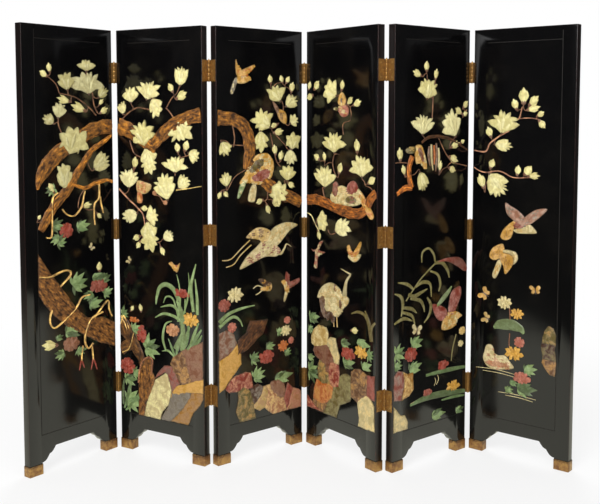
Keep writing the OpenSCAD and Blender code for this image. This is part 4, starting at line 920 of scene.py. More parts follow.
# %% Cut stones: kind, stone, second colour, then the outline's corners
STONES = table("""
1 wood root brown 61,905 120,820 180,745 245,655 303,609 386,599 451,564 451,457 358,495 275,544 200,590 130,650
   95,690 61,740
2 rock cream shade 136,165 150,227 171,268 198,330 253,368 267,361 284,296 278,268 267,234 233,199 222,165
2 rock grey plum 226,165 267,227 278,261 288,289 364,302 388,304 384,282 350,234 281,165
2 rock gold ochre 281,261 288,289 315,323 350,332 392,350 451,370 451,310 391,304 364,302
2 rock ochre brown 281,165 315,199 350,234 384,282 391,304 451,310 451,285 433,254 398,220 374,165
2 rock brown ochre 288,402 281,413 295,440 343,475 362,450 372,405 392,350 350,332 329,337 302,378
2 rock clay brown 343,475 372,488 398,500 451,528 451,370 392,350 372,405 362,450
2 rock rose plum 195,337 219,371 250,399 288,402 302,378 329,337 315,323 288,289 267,361 253,370
2 wood root umber 102,165 105,296 116,365 143,413 181,427 178,365 195,337 171,268 150,227 133,165
2 bird sand orange 114,1136 104,1160 112,1188 145,1184 172,1178 188,1168 176,1146 150,1132
2 bird orange gold 132,1092 108,1096 112,1142 132,1138 138,1112
2 bird gold red 278,842 292,852 304,842 320,838 336,850 330,825 318,808 302,822
3 bird gold orange 100,1697 112,1670 128,1655 150,1662 196,1678 190,1660 165,1640 150,1620 125,1612 106,1626
   98,1660
3 bird gold cream 172,1628 172,1612 140,1598 106,1600 104,1622 135,1634
3 bird grey cream 108,1612 85,1555 70,1562 84,1600 98,1622
3 bird gold brown 318,1490 350,1488 370,1465 366,1430 340,1438 322,1462
3 bird brown orange 292,1528 318,1508 336,1478 322,1470 302,1500
3 bird gold cream 118,1190 146,1222 162,1262 200,1296 240,1306 272,1300 298,1262 290,1210 262,1182 215,1172
   165,1182 122,1178
3 wing olive umber 160,1235 178,1262 212,1284 244,1278 240,1252 205,1232 178,1220
3 wing rose red 172,1202 205,1226 250,1242 278,1232 272,1204 240,1186 198,1184
3 bird jade cream 128,1196 150,1192 140,1160 116,1124 104,1122 110,1150
3 bird cream sand 160,1108 168,1150 185,1175 205,1168 200,1120 190,1100 | 256,925 272,958 300,985 350,1000
   390,1000 432,985 390,965 355,935 330,912 300,896 270,900
3 bird sand brown 216,938 170,945 150,955 200,988 250,985 286,962 266,926 236,918
3 bird cream rose 115,820 150,870 200,905 236,930 282,925 330,890 332,870 310,856 250,860 190,842
3 bird red rosewood 358,726 365,782 380,770 385,738 440,748 438,728 390,708 368,704
3 bird gold cream 338,742 352,750 372,742 384,716 378,690 362,694 352,722
3 bird cream sand 362,700 376,692 368,668 356,650 352,664
3 bird umber gold 212,766 240,766 268,750 284,742 280,716 262,706 252,724 236,740
3 bird gold cream 284,742 268,748 248,734 228,730 226,716 252,712 274,708 286,720
3 wood umber reed 100,455 105,520 150,545 165,590 215,588 262,586 235,530 190,500 150,470
3 rock clay grey 8,446 8,560 45,568 80,548 97,503 83,488 50,462
3 rock gold ochre 8,312 28,320 69,365 117,413 116,458 97,503 83,488 50,462 8,446
3 rock red peach 38,320 62,350 89,366 138,373 168,368 174,338 180,305 152,300 130,312 104,300 60,303
3 rock olive ochre 112,166 94,212 107,255 104,300 130,312 152,300 166,290 179,255 187,213 196,166
3 rock umber grey 166,290 180,305 205,312 236,294 225,262 206,240 187,228 179,255
3 rock sand clay 187,213 187,228 206,240 225,262 236,294 252,294 264,262 252,225 246,202 215,196
3 rock peach sand 252,294 275,297 289,266 317,238 352,228 366,166 290,166 268,182 246,202 252,225 264,262
3 rock clay brown 275,297 285,308 317,312 352,286 362,252 352,228 317,238 289,266
3 rock red rosewood 352,228 362,252 374,285 402,258 388,222 380,195 366,166
3 rock peach rose 388,222 402,258 432,246 449,236 449,166 366,166 380,195
4 bird cream sand 168,1128 168,1102 205,1092 300,1088 362,1104 378,1132 352,1160 315,1176 280,1164 240,1172
   200,1160
4 bird gold orange 345,1152 366,1150 400,1110 434,1070 436,1048 412,1046 375,1090 350,1120
4 wing red rosewood 270,1150 282,1182 312,1196 336,1182 344,1152 320,1140 292,1136
4 wing rosewood red 182,1128 180,1160 196,1186 216,1176 220,1140 204,1120
4 wing olive rose 262,1108 278,1130 312,1134 340,1118 330,1100 290,1096
4 bird gold cream 213,1515 216,1540 232,1562 250,1556 264,1530 258,1508 240,1500
4 bird pink sand 218,1490 224,1506 250,1512 276,1502 284,1484 276,1466 250,1458 226,1468
4 bird olive cream 180,1494 200,1502 216,1494 204,1484
4 wing umber brown 228,1520 236,1544 250,1536 246,1514
4 wing cream sand 232,1478 246,1494 266,1486 256,1470
4 bird cream sand 76,674 110,725 172,750 227,732 241,712 284,700 284,677 255,650 227,615 207,605 150,612 112,650
   103,668
4 wing brown umber 92,668 118,688 138,668 128,640 142,604 130,588 108,610
4 wing umber brown 132,616 160,626 188,622 196,590 180,574 164,594 146,578
4 wing brown sand 190,738 206,742 216,726 210,712 196,714 | 224,682 238,690 250,676 246,654 232,648 224,662
4 bird pink cream 35,880 50,870 62,868 56,805 66,798 76,805 84,855 130,875 88,882 115,922 90,915 76,890 55,878
4 bird gold orange 275,920 290,925 302,905 318,900 355,945 365,935 348,895 340,880 310,874 286,884 276,905
4 bird cream gold 290,888 330,892 362,892 344,866 315,856 282,872
4 rock sand cream 34,484 55,525 90,549 138,547 152,520 148,488 145,472 103,461 60,452 40,462
4 rock cream sand 148,488 169,509 202,510 208,478 226,441 222,402 193,404 179,436 162,456 145,472
4 rock rosewood brown 52,430 60,452 103,461 145,472 162,456 179,436 193,404 162,398 158,355 138,352 128,385
   96,400 66,408
4 rock red peach 162,398 193,404 222,402 228,345 222,302 190,296 172,304 158,330 158,355
4 rock olive ochre 84,322 84,370 96,400 128,385 138,352 158,355 158,330 172,304 140,300 110,296 92,306
4 rock orange ochre 52,218 58,262 76,308 92,306 110,296 140,300 172,304 190,296 180,248 150,222 118,206 80,206
4 rock red peach 8,168 8,218 30,205 52,190 90,178 118,168
4 rock brown ochre 52,190 52,218 80,206 118,206 150,222 140,196 118,168 90,178
4 rock olive reed 118,168 140,196 150,222 180,248 190,296 222,302 228,345 250,364 275,372 303,362 303,282
   296,258 262,242 232,230 222,200 210,168
4 rock brown ochre 303,282 303,362 308,388 330,403 358,409 402,394 406,372 404,332 402,308 372,292 344,266
   322,276
4 rock cream sand 350,168 358,205 344,266 372,292 402,308 425,298 445,270 449,168
4 rock rose red 404,332 406,372 402,394 430,394 449,398 449,300 425,298 402,308
5 bird gold cream 120,1335 136,1346 158,1342 174,1316 188,1280 192,1246 172,1250 146,1272 130,1266 120,1292
5 wing rosewood brown 132,1330 152,1336 166,1312 174,1280 160,1276 140,1300
5 bird olive sand 66,1328 95,1340 125,1336 130,1318 100,1310 72,1314
5 bird rose red 336,630 350,700 375,722 412,728 418,690 392,640 372,614 345,612
5 bird red rose 232,670 280,662 322,640 330,612 300,592 262,608
5 bird gold cream 300,604 345,628 386,622 428,598 395,585 385,560 340,548 295,555 300,590
5 rock rose grey 8,302 8,398 30,420 60,410 66,360 50,296
5 rock ochre sand 60,410 90,396 118,400 122,330 95,306 54,296 70,350
5 rock cream sand 8,168 8,272 30,250 45,230 70,225 88,195 88,168
6 wing blush grey 155,1097 165,1050 200,1022 236,1002 262,1010 246,1040 215,1068 180,1086 | 258,1008 300,1035
   345,1080 300,1078 258,1052 236,1026
6 bird gold ochre 206,1016 198,990 184,950 158,938 136,950 150,985 192,1022
6 bird rose blush 186,1014 230,1034 262,1014 240,998 206,990
6 bird cream sand 206,990 240,998 262,1014 282,1004 300,980 270,974 214,972 194,984
6 bird gold ochre 85,862 100,900 145,922 154,896 142,866 110,848 | 138,890 152,884 180,880 198,866 196,838
   162,792 150,828 132,858
6 bird cream sand 138,890 160,898 205,892 218,870 212,850 196,838 198,866 180,880 152,884
6 bird cream gold 118,772 100,780 112,820 128,852 144,836
6 bird cream peach 62,415 68,445 78,475 100,480 112,465 114,448 135,438 165,442 190,418 208,395 180,384 120,374
   80,384
6 wing peach orange 72,398 90,412 130,414 170,412 196,396 168,386 110,382
6 rock olive ochre 360,594 345,575 337,544 334,524 390,522 391,560 380,588
6 rock umber olive 333,520 330,506 339,468 337,458 393,454 391,480 386,500 391,518
6 rock brown ochre 337,454 335,437 347,418 373,394 390,392 393,430 393,450
""")
print("cut stones", count_of(STONES))

# %% [markdown]
# The carver worked each flower, leaf and branch from one piece of soapstone, jade or agate, four to
# eight millimetres thick, with steep sides and a domed face. The unit petal below is such a stone in
# small: one long, one wide and one high, closed underneath, with only a few dozen faces, because
# it is repeated more than a thousand times.

# %% Unit petals and leaves
UNITS = {  # name: (half widths along the length, crease, height of the wall, hollow)
    "petal": ([(0, 0.10), (0.25, 0.27), (0.5, 0.43), (0.68, 0.48), (0.83, 0.27), (1, 0.01)], 0.10, 0.4, 0.25),
    "round": ([(0, 0.12), (0.25, 0.32), (0.5, 0.46), (0.75, 0.5), (0.92, 0.40), (1, 0.22)], 0.08, 0.45, 0.2),
    "leaf": ([(0, 0.06), (0.2, 0.36), (0.4, 0.5), (0.6, 0.44), (0.8, 0.24), (1, 0.02)], 0.28, 0.45, 0.0),
    "feather": ([(0, 0.20), (0.3, 0.42), (0.6, 0.5), (0.8, 0.44), (0.93, 0.27), (1, 0.10)], 0.12, 0.4, 0.2),
}
ACROSS = np.array([-1, -0.55, 0, 0.55, 1])


def unit(name, widths, crease, wall, hollow):
    """A petal along +Y: a domed face, a wall down to the ground and a flat underside."""
    rows, columns = len(widths), len(ACROSS)
    corners = []
    for t, half_width in widths:
        for u in ACROSS:
            swell = (1 - abs(u) ** 2.2) * (0.62 + 0.38 * math.sin(math.pi * min(1, t * 0.9 + 0.05)))
            crown = wall + (1 - wall) * swell - crease * math.exp(-(u / 0.3) ** 2)
            corners.append((u * half_width, t, crown + hollow * (t - 0.5) * (1 - u * u)))
    border = ([(0, c) for c in range(columns)] + [(r, columns - 1) for r in range(1, rows)]
              + [(rows - 1, c) for c in range(columns - 2, -1, -1)] + [(r, 0) for r in range(rows - 2, 0, -1)])
    rim = [r * columns + c for r, c in border]
    base, count = len(corners), len(rim)
    corners += [(corners[i][0], corners[i][1], 0) for i in rim]
    faces = [(r * columns + c, r * columns + c + 1, (r + 1) * columns + c + 1, (r + 1) * columns + c)
             for r in range(rows - 1) for c in range(columns - 1)]
    faces += [(rim[i], rim[(i + 1) % count], base + (i + 1) % count, base + i) for i in range(count)]
    faces.append(tuple(base + i for i in range(count)))
    return draw(name, corners, faces)


units = {name: unit(f"{name}_unit", *form) for name, form in UNITS.items()}
print("a unit petal has", len(units["petal"].data.polygons), "faces")

# %% [markdown]
# Soapstone, jade and agate are dull to waxy, never glassy. What makes them look like stone is that
# the colour drifts inside each piece, with clouds, veins and specks, and that the stones differ from
# each other. So the colour of every petal, leaf and rock is kept in its mesh as an attribute, and
# one paint adds the clouding on top. The hollows and the low sides of each stone are darker: partly
# old dust that stays in them, partly painted shade.

# %% The stones' colours
TINTS = {
    "cream": (228, 212, 152), "magnolia": (240, 230, 158), "ivory": (244, 236, 172), "shade": (228, 218, 144),
    "jade": (144, 172, 108), "leaf": (112, 142, 84), "moss": (80, 102, 56), "olive": (118, 104, 44),
    "reed": (134, 126, 66), "bark": (184, 116, 38), "root": (122, 78, 34), "umber": (84, 50, 26),
    "twig": (122, 84, 60), "copper": (198, 112, 38), "vine": (214, 170, 98), "brown": (120, 80, 42),
    "sand": (224, 190, 112), "ochre": (186, 132, 42), "gold": (224, 170, 62), "orange": (204, 112, 36),
    "peach": (196, 138, 92), "pink": (190, 108, 84), "clay": (146, 94, 64), "rose": (158, 76, 56),
    "red": (158, 54, 30), "rosewood": (134, 70, 34), "blush": (176, 124, 96), "plum": (78, 62, 52),
    "grey": (138, 128, 110),
}
STONE_DUST_AND_SHADE, STONE_SPECK, BARK_DUST_AND_SHADE = (0.05, 0.035, 0.02), (0.10, 0.06, 0.035), (0.03, 0.018, 0.01)
STONE_DARK, STONE_LIGHT = (0.60, 0.55, 0.50), (0.95, 0.90, 0.78)
BARK_MOTTLE_SHADE, BARK_MOTTLE_HIGHLIGHT = (0.16, 0.12, 0.09), (2.5, 2.7, 2.2)


def stone_paint(name, cloud, strength, roughness, mottled=False, speck=0.0, dust=0.5, pale=0.09):
    """Waxy stone in its own tint, clouded. A mottled one has patches of its second tint."""
    paint = Paint(name)
    tint = paint.attribute("tint", "Color")
    clouds = paint.noise(cloud, 5, 0.62, 0.8)
    cracks = paint.add("TexVoronoi", {"feature": "DISTANCE_TO_EDGE"},
                       {"Vector": paint.where, "Scale": cloud * 1.6}, "Distance")
    veins = 1 - cracks.ramp(0.0, 0.09)
    grain = paint.noise(cloud * 9, 4, 0.65)
    darker = paint.mix(1.0, tint, STONE_DARK, "MULTIPLY")
    lighter = paint.mix(pale, tint, STONE_LIGHT)
    colour = paint.mix(clouds.ramp(0.36, 0.66), darker, lighter)
    colour = paint.mix(0.55 - strength, colour, tint)
    if mottled:
        patches = paint.attribute("mottle") * clouds.ramp(0.44, 0.60)
        colour = paint.mix(patches, colour, paint.attribute("second", "Color"))
    colour = paint.mix(veins * (0.22 + speck), colour, darker)
    colour = paint.mix(grain.ramp(0.60, 0.74) * (0.12 + speck), colour, STONE_SPECK)
    # Dust and painted shade: the low and hollow parts of each stone, where its relief is small, are mixed towards
    # dark brown, as far as dust says.
    hollow = 1 - paint.attribute("relief").ramp(0.05, 0.6)
    colour = paint.mix(hollow * dust, colour, STONE_DUST_AND_SHADE)
    return paint.finish(Base_Color=colour, Roughness=roughness + grain * 0.18 - clouds * 0.08,
                        Normal=paint.bump(clouds * 0.4 + grain * 0.6, 0.5, 0.0007))


def bark_paint():
    """Brown stone, cut into rough bark whose ridges run along the branch."""
    paint = Paint("branch_stone")
    tint = paint.attribute("tint", "Color")
    run = paint.add("CombineXYZ", {}, {0: paint.attribute("around") * 16, 1: paint.attribute("along") * 34})
    ridges = paint.add("TexNoise", {}, {"Vector": run, "Scale": 1.0, "Detail": 5.0, "Roughness": 0.65}, "Fac")
    lumps, grain = paint.noise(36, 4, 0.65, 0.6), paint.noise(170, 4, 0.7)
    height = ridges * 0.62 + lumps * 0.25 + grain * 0.13
    # The colour follows the same height as the bump: the stone's own mottling, with painted shade in the low
    # grooves and a painted highlight on the ridges.
    colour = paint.mix(height.ramp(0.43, 0.50), paint.mix(1.0, tint, BARK_MOTTLE_SHADE, "MULTIPLY"), tint)
    colour = paint.mix(height.ramp(0.52, 0.59), colour, paint.mix(1.0, tint, BARK_MOTTLE_HIGHLIGHT, "MULTIPLY"))
    # Dust and painted shade: where the relief is low, along the sides of the branches and at the rims of the
    # roots, the colour is mixed towards near-black.
    hollow = 1 - paint.attribute("relief").ramp(0.05, 0.7)
    colour = paint.mix(hollow * 0.6, colour, BARK_DUST_AND_SHADE)
    return paint.finish(Base_Color=colour, Roughness=0.42 + grain * 0.25,
                        Normal=paint.bump(height, 0.8, 0.0025))


paints = {
    "blossoms": stone_paint("magnolia_stone", 42, 0.2, 0.42, dust=0.35),
    "foliage": stone_paint("jade_stone", 55, 0.35, 0.34, speck=0.1),
    "flowers": stone_paint("flower_stone", 60, 0.35, 0.36),
    "wood": bark_paint(),
    "stones": stone_paint("rock_stone", 34, 0.5, 0.40, mottled=True, speck=0.35, pale=0.2),
}


def colour_of(name, dice=None, spread=0.0, shade=1.0):
    """A stone's linear colour, a little lighter or darker where dice are given."""
    if isinstance(name, tuple):
        return name
    # shade darkens the colour: painted shade, used for the blossoms of panel 1.
    change = (1 + dice.uniform(-spread, spread) if dice else 1) * shade
    warm = 1 + dice.uniform(-spread, spread) * 0.35 if dice else 1
    red, green, blue = rgb(*TINTS[name])
    return (min(1, red * change), min(1, green * change), min(1, blue * change * warm), 1)


print(len(TINTS), "stone colours,", len(paints), "paints")

# %% [markdown]
# A stem is a line with a width, so its shape follows a path: Geometry Nodes turn the line into a
# smooth curve, sweep a circle along it and press the circle down until the underside is flat and
# the top has the branch's own height. Noise in the same tree makes big branches gnarled. The
# distances along and around the stem are kept as attributes, for bark that runs with the branch.

# %% A tree that sweeps branches
THINNEST, GROOVE_AROUND, GROOVE_ALONG, LUMPS, SWAYS = 0.0006, 9.0, 22.0, 34.0, 30.0


def sweep_tree():
    """Sweeps a circle along every line, as wide as its half_width and as high as its lift."""
    tree = Tree("sweep", Sides="Int", Smoothness="Int", Knots="Float", Grooves="Float")
    add, named, given = tree.add, tree.named, tree.given

    def keep(geometry, name, value):
        return add("GeometryNodeStoreNamedAttribute", {"data_type": "FLOAT", "domain": "POINT"},
                   {"Geometry": geometry, "Name": name, "Value": value})

    def clouds(where, scale, detail, out="Fac"):
        return add("TexNoise", {}, {"Vector": where, "Scale": scale, "Detail": detail}, out)

    line = add("GeometryNodeMeshToCurve", {}, {"Mesh": given["Geometry"]})
    line = add("GeometryNodeCurveSplineType", {"spline_type": "CATMULL_ROM"}, {"Curve": line})
    line = add("GeometryNodeSetSplineResolution", {}, {"Geometry": line, "Resolution": given["Smoothness"]})
    line = add("GeometryNodeResampleCurve", {"mode": "EVALUATED"}, {"Curve": line})
    line = keep(line, "along", add("GeometryNodeSplineParameter", out="Length"))
    half = named("half_width").at_least(THINNEST)
    line = add("GeometryNodeSetCurveNormal", {"mode": "Z_UP"}, {"Curve": line})
    circle = add("GeometryNodeCurvePrimitiveCircle", {"mode": "RADIUS"},
                 {"Resolution": given["Sides"], "Radius": 1.0})
    circle = keep(circle, "around", add("GeometryNodeSplineParameter", out="Factor"))
    swept = add("GeometryNodeCurveToMesh", {}, {
        "Curve": line, "Profile Curve": circle, "Scale": half, "Fill Caps": True})
    place = add("GeometryNodeInputPosition")
    x, y, z = place.axes()
    share = (z / half).at_least(0.0)
    share = share.maths("MINIMUM", share, 1.0)
    bark = add("CombineXYZ", {}, {0: named("around") * GROOVE_AROUND, 1: named("along") * GROOVE_ALONG})
    rough = given["Grooves"]
    height = (share ** 0.75) * named("lift") * (
        1 + (clouds(bark, 1.0, 2.0) - 0.5) * rough + (clouds(place, LUMPS, 2.0) - 0.5) * rough)
    sway = clouds(place, SWAYS, 3.0, "Color").vector("SUBTRACT", {1: (0.5, 0.5, 0.5)})
    sway_x, sway_y = sway.vector("SCALE", {"Scale": given["Knots"] * half}).axes("XY")
    moved = add("CombineXYZ", {}, {0: x + sway_x, 1: y + sway_y, 2: height})
    pressed = add("GeometryNodeSetPosition", {}, {"Geometry": swept, "Position": moved})
    # The share of height is kept as relief, so the paints darken the lower sides of every stem: painted shade.
    tree.finish(keep(pressed, "relief", share))
    return tree


sweep = sweep_tree()
print("sweep tree has", len(sweep.tree.nodes), "nodes")

# %% [markdown]
# Each kind of line has its own height and belongs to one piece of the panel. Where a flower or a
# leaf lies over a rock or a thick branch, its stone has to be taller to show, so the drawing is
# asked what lies under each one first. Nothing stands more than eight millimetres off the lacquer,
# because two folded panels leave a gap of only twenty millimetres for both of their carvings.

# %% Heights of the carving
KINDS = {  # kind: (piece, height in mm, gnarled)
    "trunk": ("wood", 5.2, True), "branch": ("wood", 4.8, True), "root": ("wood", 5.2, True),
    "twig": ("wood", 3.0, False), "vine": ("wood", 7.4, False), "tassel": ("flowers", 3.4, False),
    "blade": ("foliage", 3.6, False), "reed": ("foliage", 3.2, False), "stem": ("foliage", 2.6, False),
    "pad": ("foliage", 3.4, False), "water": ("foliage", 1.6, False), "leg": ("stones", 2.4, False),
    "neck": ("stones", 4.4, False), "feather": ("stones", 4.0, False),
}
SLAB_HEIGHTS = {"bird": 4.6, "wing": 6.2, "rock": 5.4, "wood": 5.6, "bloom": 4.4}
TOP_H, EDGE_GAP, TWIG_SHARE, THICK = 7.9, 0.004, 0.72, 12


def inside(point, outline):
    """True if a point lies inside an outline."""
    x, y = point
    odd = False
    for (x1, y1), (x2, y2) in zip(outline, outline[1:] + outline[:1]):
        if (y1 > y) != (y2 > y) and x < x1 + (y - y1) / (y2 - y1) * (x2 - x1):
            odd = not odd
    return odd


def distance(points, line):
    """The distance of each point to a line of corners."""
    points, line = np.asarray(points, float), np.asarray(line, float)
    best = np.full(len(points), 1e9)
    for a, b in zip(line[:-1], line[1:]):
        step = b - a
        share = np.clip(((points - a) @ step) / max(step @ step, 1e-12), 0, 1)
        best = np.minimum(best, np.linalg.norm(points - a - share[:, None] * step, axis=1))
    return best


def stands_over(number, x, z):
    """How much of a rock or thick branch is under a place, in millimetres."""
    for kind, _, _, outline in STONES[number]:
        if kind in ("rock", "wood") and inside((x, z), outline):
            return SLAB_HEIGHTS[kind]
    for kind, _, line in LINES[number]:
        wide = max(p[2] for p in line) / 2
        if wide > THICK and distance([(x, z)], [p[:2] for p in line])[0] < wide * 0.9:
            return KINDS[kind][1]
    return 0.0


print("tallest stone", TOP_H, "mm")

# %% [markdown]
# An open magnolia is one stone, cut out round its pointed petals, with a crease from its stalk to
# each notch and a few raised petals on top. So its outline is worked out here and cut later, as the
# rocks are. A peony is three rings of petals, a leaf is seven pointed blades from one stalk, and a
# bud is three petals that are still shut, on a dark calyx. Each raised stone goes into a list as a
# row: the unit shape, its root, turn, length, width and height, and its colour.

# %% Magnolias
def facing(degrees):
    return np.array([math.cos(math.radians(degrees)), math.sin(math.radians(degrees))])


def course(span):
    """The length and the direction of a span."""
    return float(np.hypot(*span)), math.degrees(math.atan2(span[1], span[0]))


def oval(w, h, degrees):
    """How far an oval reaches in a direction."""
    x, z = facing(degrees)
    return 1 / math.hypot(x / (w / 2), z / (h / 2))


def heights(under, *steps):
    """Heights above the lacquer for the layers of a flower over whatever is under it."""
    return [min(TOP_H, step if under == 0 else under * 0.84 + step * 0.62) for step in steps]


def full(line, swell=0.09):
    """A line with a point between each two, pushed to its left, so that the petals have full sides."""
    made = [line[0]]
    for a, b in zip(line, line[1:]):
        made += [(a + b) / 2 + np.array([a[1] - b[1], b[0] - a[0]]) * swell, b]
    return made


def magnolia(stones, item, under, dice, shade):
    """The outline of an open flower from its stalk round its pointed petals, and its creases."""
    x, z, w, h, opening, spread = item
    middle, ahead = np.array([x, z]), facing(opening)
    left = np.array([-ahead[1], ahead[0]])
    base = middle - ahead * oval(w, h, opening + 180)
    count = 7 if w + h > 200 else 5
    turns = [opening + spread * 0.88 * (1 - 2 * i / (count - 1)) + dice.uniform(-8, 8) for i in range(count)]
    tips = [middle + facing(t) * oval(w, h, t) * dice.uniform(0.9, 1.16) for t in turns]
    halves = [a * 0.62 + b * 0.38 if dice.random() < 0.5 else a * 0.38 + b * 0.62
              for a, b in zip(turns, turns[1:])]
    notches = [middle + facing(t) * oval(w, h, t) * dice.uniform(0.60, 0.76) for t in halves]
    crown = [p for pair in zip(tips, notches) for p in pair] + [tips[-1]]
    waist = base * 0.6 + middle * 0.4
    reach = 0.19 * math.hypot(w, h)
    outline = [base, *full([waist + left * reach, *crown, waist - left * reach])]
    low, high = heights(under, 4.4, 5.2)
    for i in range(1, count - 1, 2):
        span = (middle * 0.45 + tips[i] * 0.55) - base
        length, turn = course(span)
        stones.append(("petal", base + span * 0.1, turn, length * 0.9, min(length * 0.36, 26), high,
                       colour_of("ivory", dice, 0.05, shade)))
    stones.append(("leaf", base - ahead * 5, opening, 16, 10, high * 0.8, colour_of("umber", dice, 0.1)))
    name = dice.choice(["magnolia", "magnolia", "ivory", "shade"])
    tint = colour_of(name, dice, 0.06, shade)
    return "bloom", tint, "shade", [tuple(p) for p in outline], low, (tuple(base), [tuple(p) for p in notches])


print("a bloom 130 by 80 mm reaches", round(oval(130, 80, 45)), "mm at 45 degrees")


# %% Buds, peonies, leaves and insects
def bud(stones, item, under, dice):
    x, z, length, width, direction = item
    root = np.array([x, z]) - facing(direction) * length / 2
    low, high = heights(under, 3.2, 4.6)
    for lean in (-15, 15):
        stones.append(("petal", root, direction + lean, length * 0.84, width * 0.62, low,
                       colour_of("shade", dice, 0.08)))
    stones.append(("petal", root, direction, length, width * 0.74, high, colour_of("magnolia", dice, 0.08)))
    stones.append(("leaf", root - facing(direction) * length * 0.06, direction, length * 0.34, width * 0.5,
                   high * 0.95, colour_of("twig", dice, 0.1)))


def peony(stones, item, under, dice):
    x, z, w, h, name = item
    shape, longer, slimmer = ("petal", 1.12, 0.9) if name in ("cream", "gold", "orange") else ("round", 1, 1)
    middle = np.array([x, z])
    rings = zip((9, 7, 5), (0.28, 0.10, 0.0), (0.72, 0.62, 0.44), (0.56, 0.54, 0.44),
                heights(under, 3.8, 5.2, 6.6))
    for ring, (count, out, reach, wide, level) in enumerate(rings):
        for i in range(count):
            degrees = 360 * (i + ring / 2) / count + dice.uniform(-7, 7)
            radius = oval(w, h, degrees)
            stones.append((shape, middle + facing(degrees) * radius * out, degrees,
                           radius * reach * dice.uniform(0.9, 1.02) * longer, radius * wide * slimmer,
                           level * dice.uniform(0.92, 1.0), colour_of(name, dice, 0.14)))


def lobed_leaf(stones, item, under, dice):
    x, z, w, h, turn = item
    middle = np.array([x, z])
    base = middle - facing(turn) * 0.6 * oval(w, h, turn + 180)
    low, high = heights(under, 3.0, 4.2)
    for i, lean in enumerate((-125, 125, -80, 80, -38, 38, 0)):
        tip = middle + facing(turn + lean) * oval(w, h, turn + lean) * dice.uniform(1.0, 1.3)
        length, heading = course(tip - base)
        stones.append(("leaf", base, heading, length, length * 0.36, low if i < 4 else high,
                       colour_of(dice.choice(["jade", "jade", "leaf", "moss"]), dice, 0.14)))


def insect(stones, item, under, dice):
    """A butterfly or bee: two long wings, two short ones and a thin body."""
    x, z, size, turn, name = item
    low, high = heights(under, 3.0, 4.0)
    for lean, share in ((48, 0.62), (-48, 0.55), (105, 0.42), (-112, 0.38)):
        stones.append(("round" if share > 0.5 else "petal", np.array([x, z]), turn + lean, size * share,
                       size * 0.34, low, colour_of(name, dice, 0.12)))
    stones.append(("leaf", np.array([x, z]) - facing(turn) * size * 0.28, turn, size * 0.6, size * 0.12, high,
                   colour_of("umber", dice, 0.1)))


print("a flower over a rock stands", round(heights(SLAB_HEIGHTS["rock"], 3.8)[0], 1), "mm high")


# %% Lists of stones and lines, made real
def scattered(stones, material, seed):
    """All the stones of one list as drawn things, with one scatter for each unit shape."""
    made = []
    for shape in sorted({row[0] for row in stones}):
        _, roots, turns, lengths, widths, tops, tints = zip(*[row for row in stones if row[0] == shape])
        points = draw("stones", [(x * MM, z * MM, 0) for x, z in roots], [], tint=tints,
                      turn=[(0, 0, math.radians(turn - 90)) for turn in turns],
                      size=[(wide * MM, long * MM, high * MM) for wide, long, high in zip(widths, lengths, tops)])
        thing = scatter.run(points, "stones", Shape=units[shape], Material=material, Lean=0.02, Seed=seed)
        # The relief is the share of the tallest height, so the paints darken the low parts of every petal and
        # leaf: painted shade.
        rise = np.array([v.co.z for v in thing.data.vertices]) / (TOP_H * MM)
        store(thing.data, "relief", np.clip(rise * 1.5, 0, 1))
        made.append(thing)
    return made


SWEEPS = {True: {"Sides": 24, "Smoothness": 10, "Knots": 0.6, "Grooves": 1.0},
          False: {"Sides": 12, "Smoothness": 7, "Knots": 0.15, "Grooves": 0.2}}


def swept(lines, seed, material):
    """Lines of (kind, stone, points), as one drawn thing for the gnarled and one for the smooth ones."""
    made, dice = [], random.Random(seed)
    for gnarled, form in SWEEPS.items():
        rows, edges = [], []
        for kind, name, line in lines:
            if KINDS[kind][2] != gnarled:
                continue
            colour = colour_of(name, dice, 0.08)
            edges += [(len(rows) + i, len(rows) + i + 1) for i in range(len(line) - 1)]
            for x, z, width in line:
                width = width * TWIG_SHARE if kind == "twig" else width
                thin = min(1, 0.45 + width / 24 if gnarled else 0.6 + width / 20)
                rows.append(((x * MM, z * MM, 0), max(width, 2) / 2 * MM, KINDS[kind][1] * thin * MM, colour))
        if not rows:
            continue
        corners, half_widths, lifts, tints = zip(*rows)
        mesh = bpy.data.meshes.new("lines")
        mesh.from_pydata(corners, edges, [])
        for key, values in (("half_width", half_widths), ("lift", lifts), ("tint", tints),
                            ("second", [colour_of("umber")] * len(rows)),
                            ("mottle", [0.5 if gnarled else 0.2] * len(rows))):
            store(mesh, key, values)
        thing = sweep.run(put("lines", mesh), "lines", Material=material, **form)
        for v in thing.data.vertices:
            v.co.x = min(max(v.co.x, EDGE_GAP), PANEL_W - EDGE_GAP)
        made.append(thing)
    return made


print("flowers, leaves and lines can be drawn")

# %% [markdown]
# A rock is a slab sawn to an outline and worked on its face. The outline is broken into short steps
# and roughened, points are spread over the inside, and a constrained triangulation joins them. Each
# point's height then comes from its distance to the edge and from noise, so the slab has a worn rim
# and ridges, and the same function makes the smoother body of a bird.

# %% Slabs: rocks, roots and birds
SMOOTH_SLABS = ("bird", "wing", "bloom")


def broken(outline, step, rough, seed):
    """An outline in short steps, moved a little by noise."""
    points = []
    for (x1, y1), (x2, y2) in zip(outline, outline[1:] + outline[:1]):
        count = max(1, round(math.hypot(x2 - x1, y2 - y1) / step))
        points += [(x1 + (x2 - x1) * i / count, y1 + (y2 - y1) * i / count) for i in range(count)]
    shift = [noise.noise_vector(Vector((x / 14, y / 14, seed))) for x, y in points]
    return [(x + rough * s.x, y + rough * s.y) for (x, y), s in zip(points, shift)]


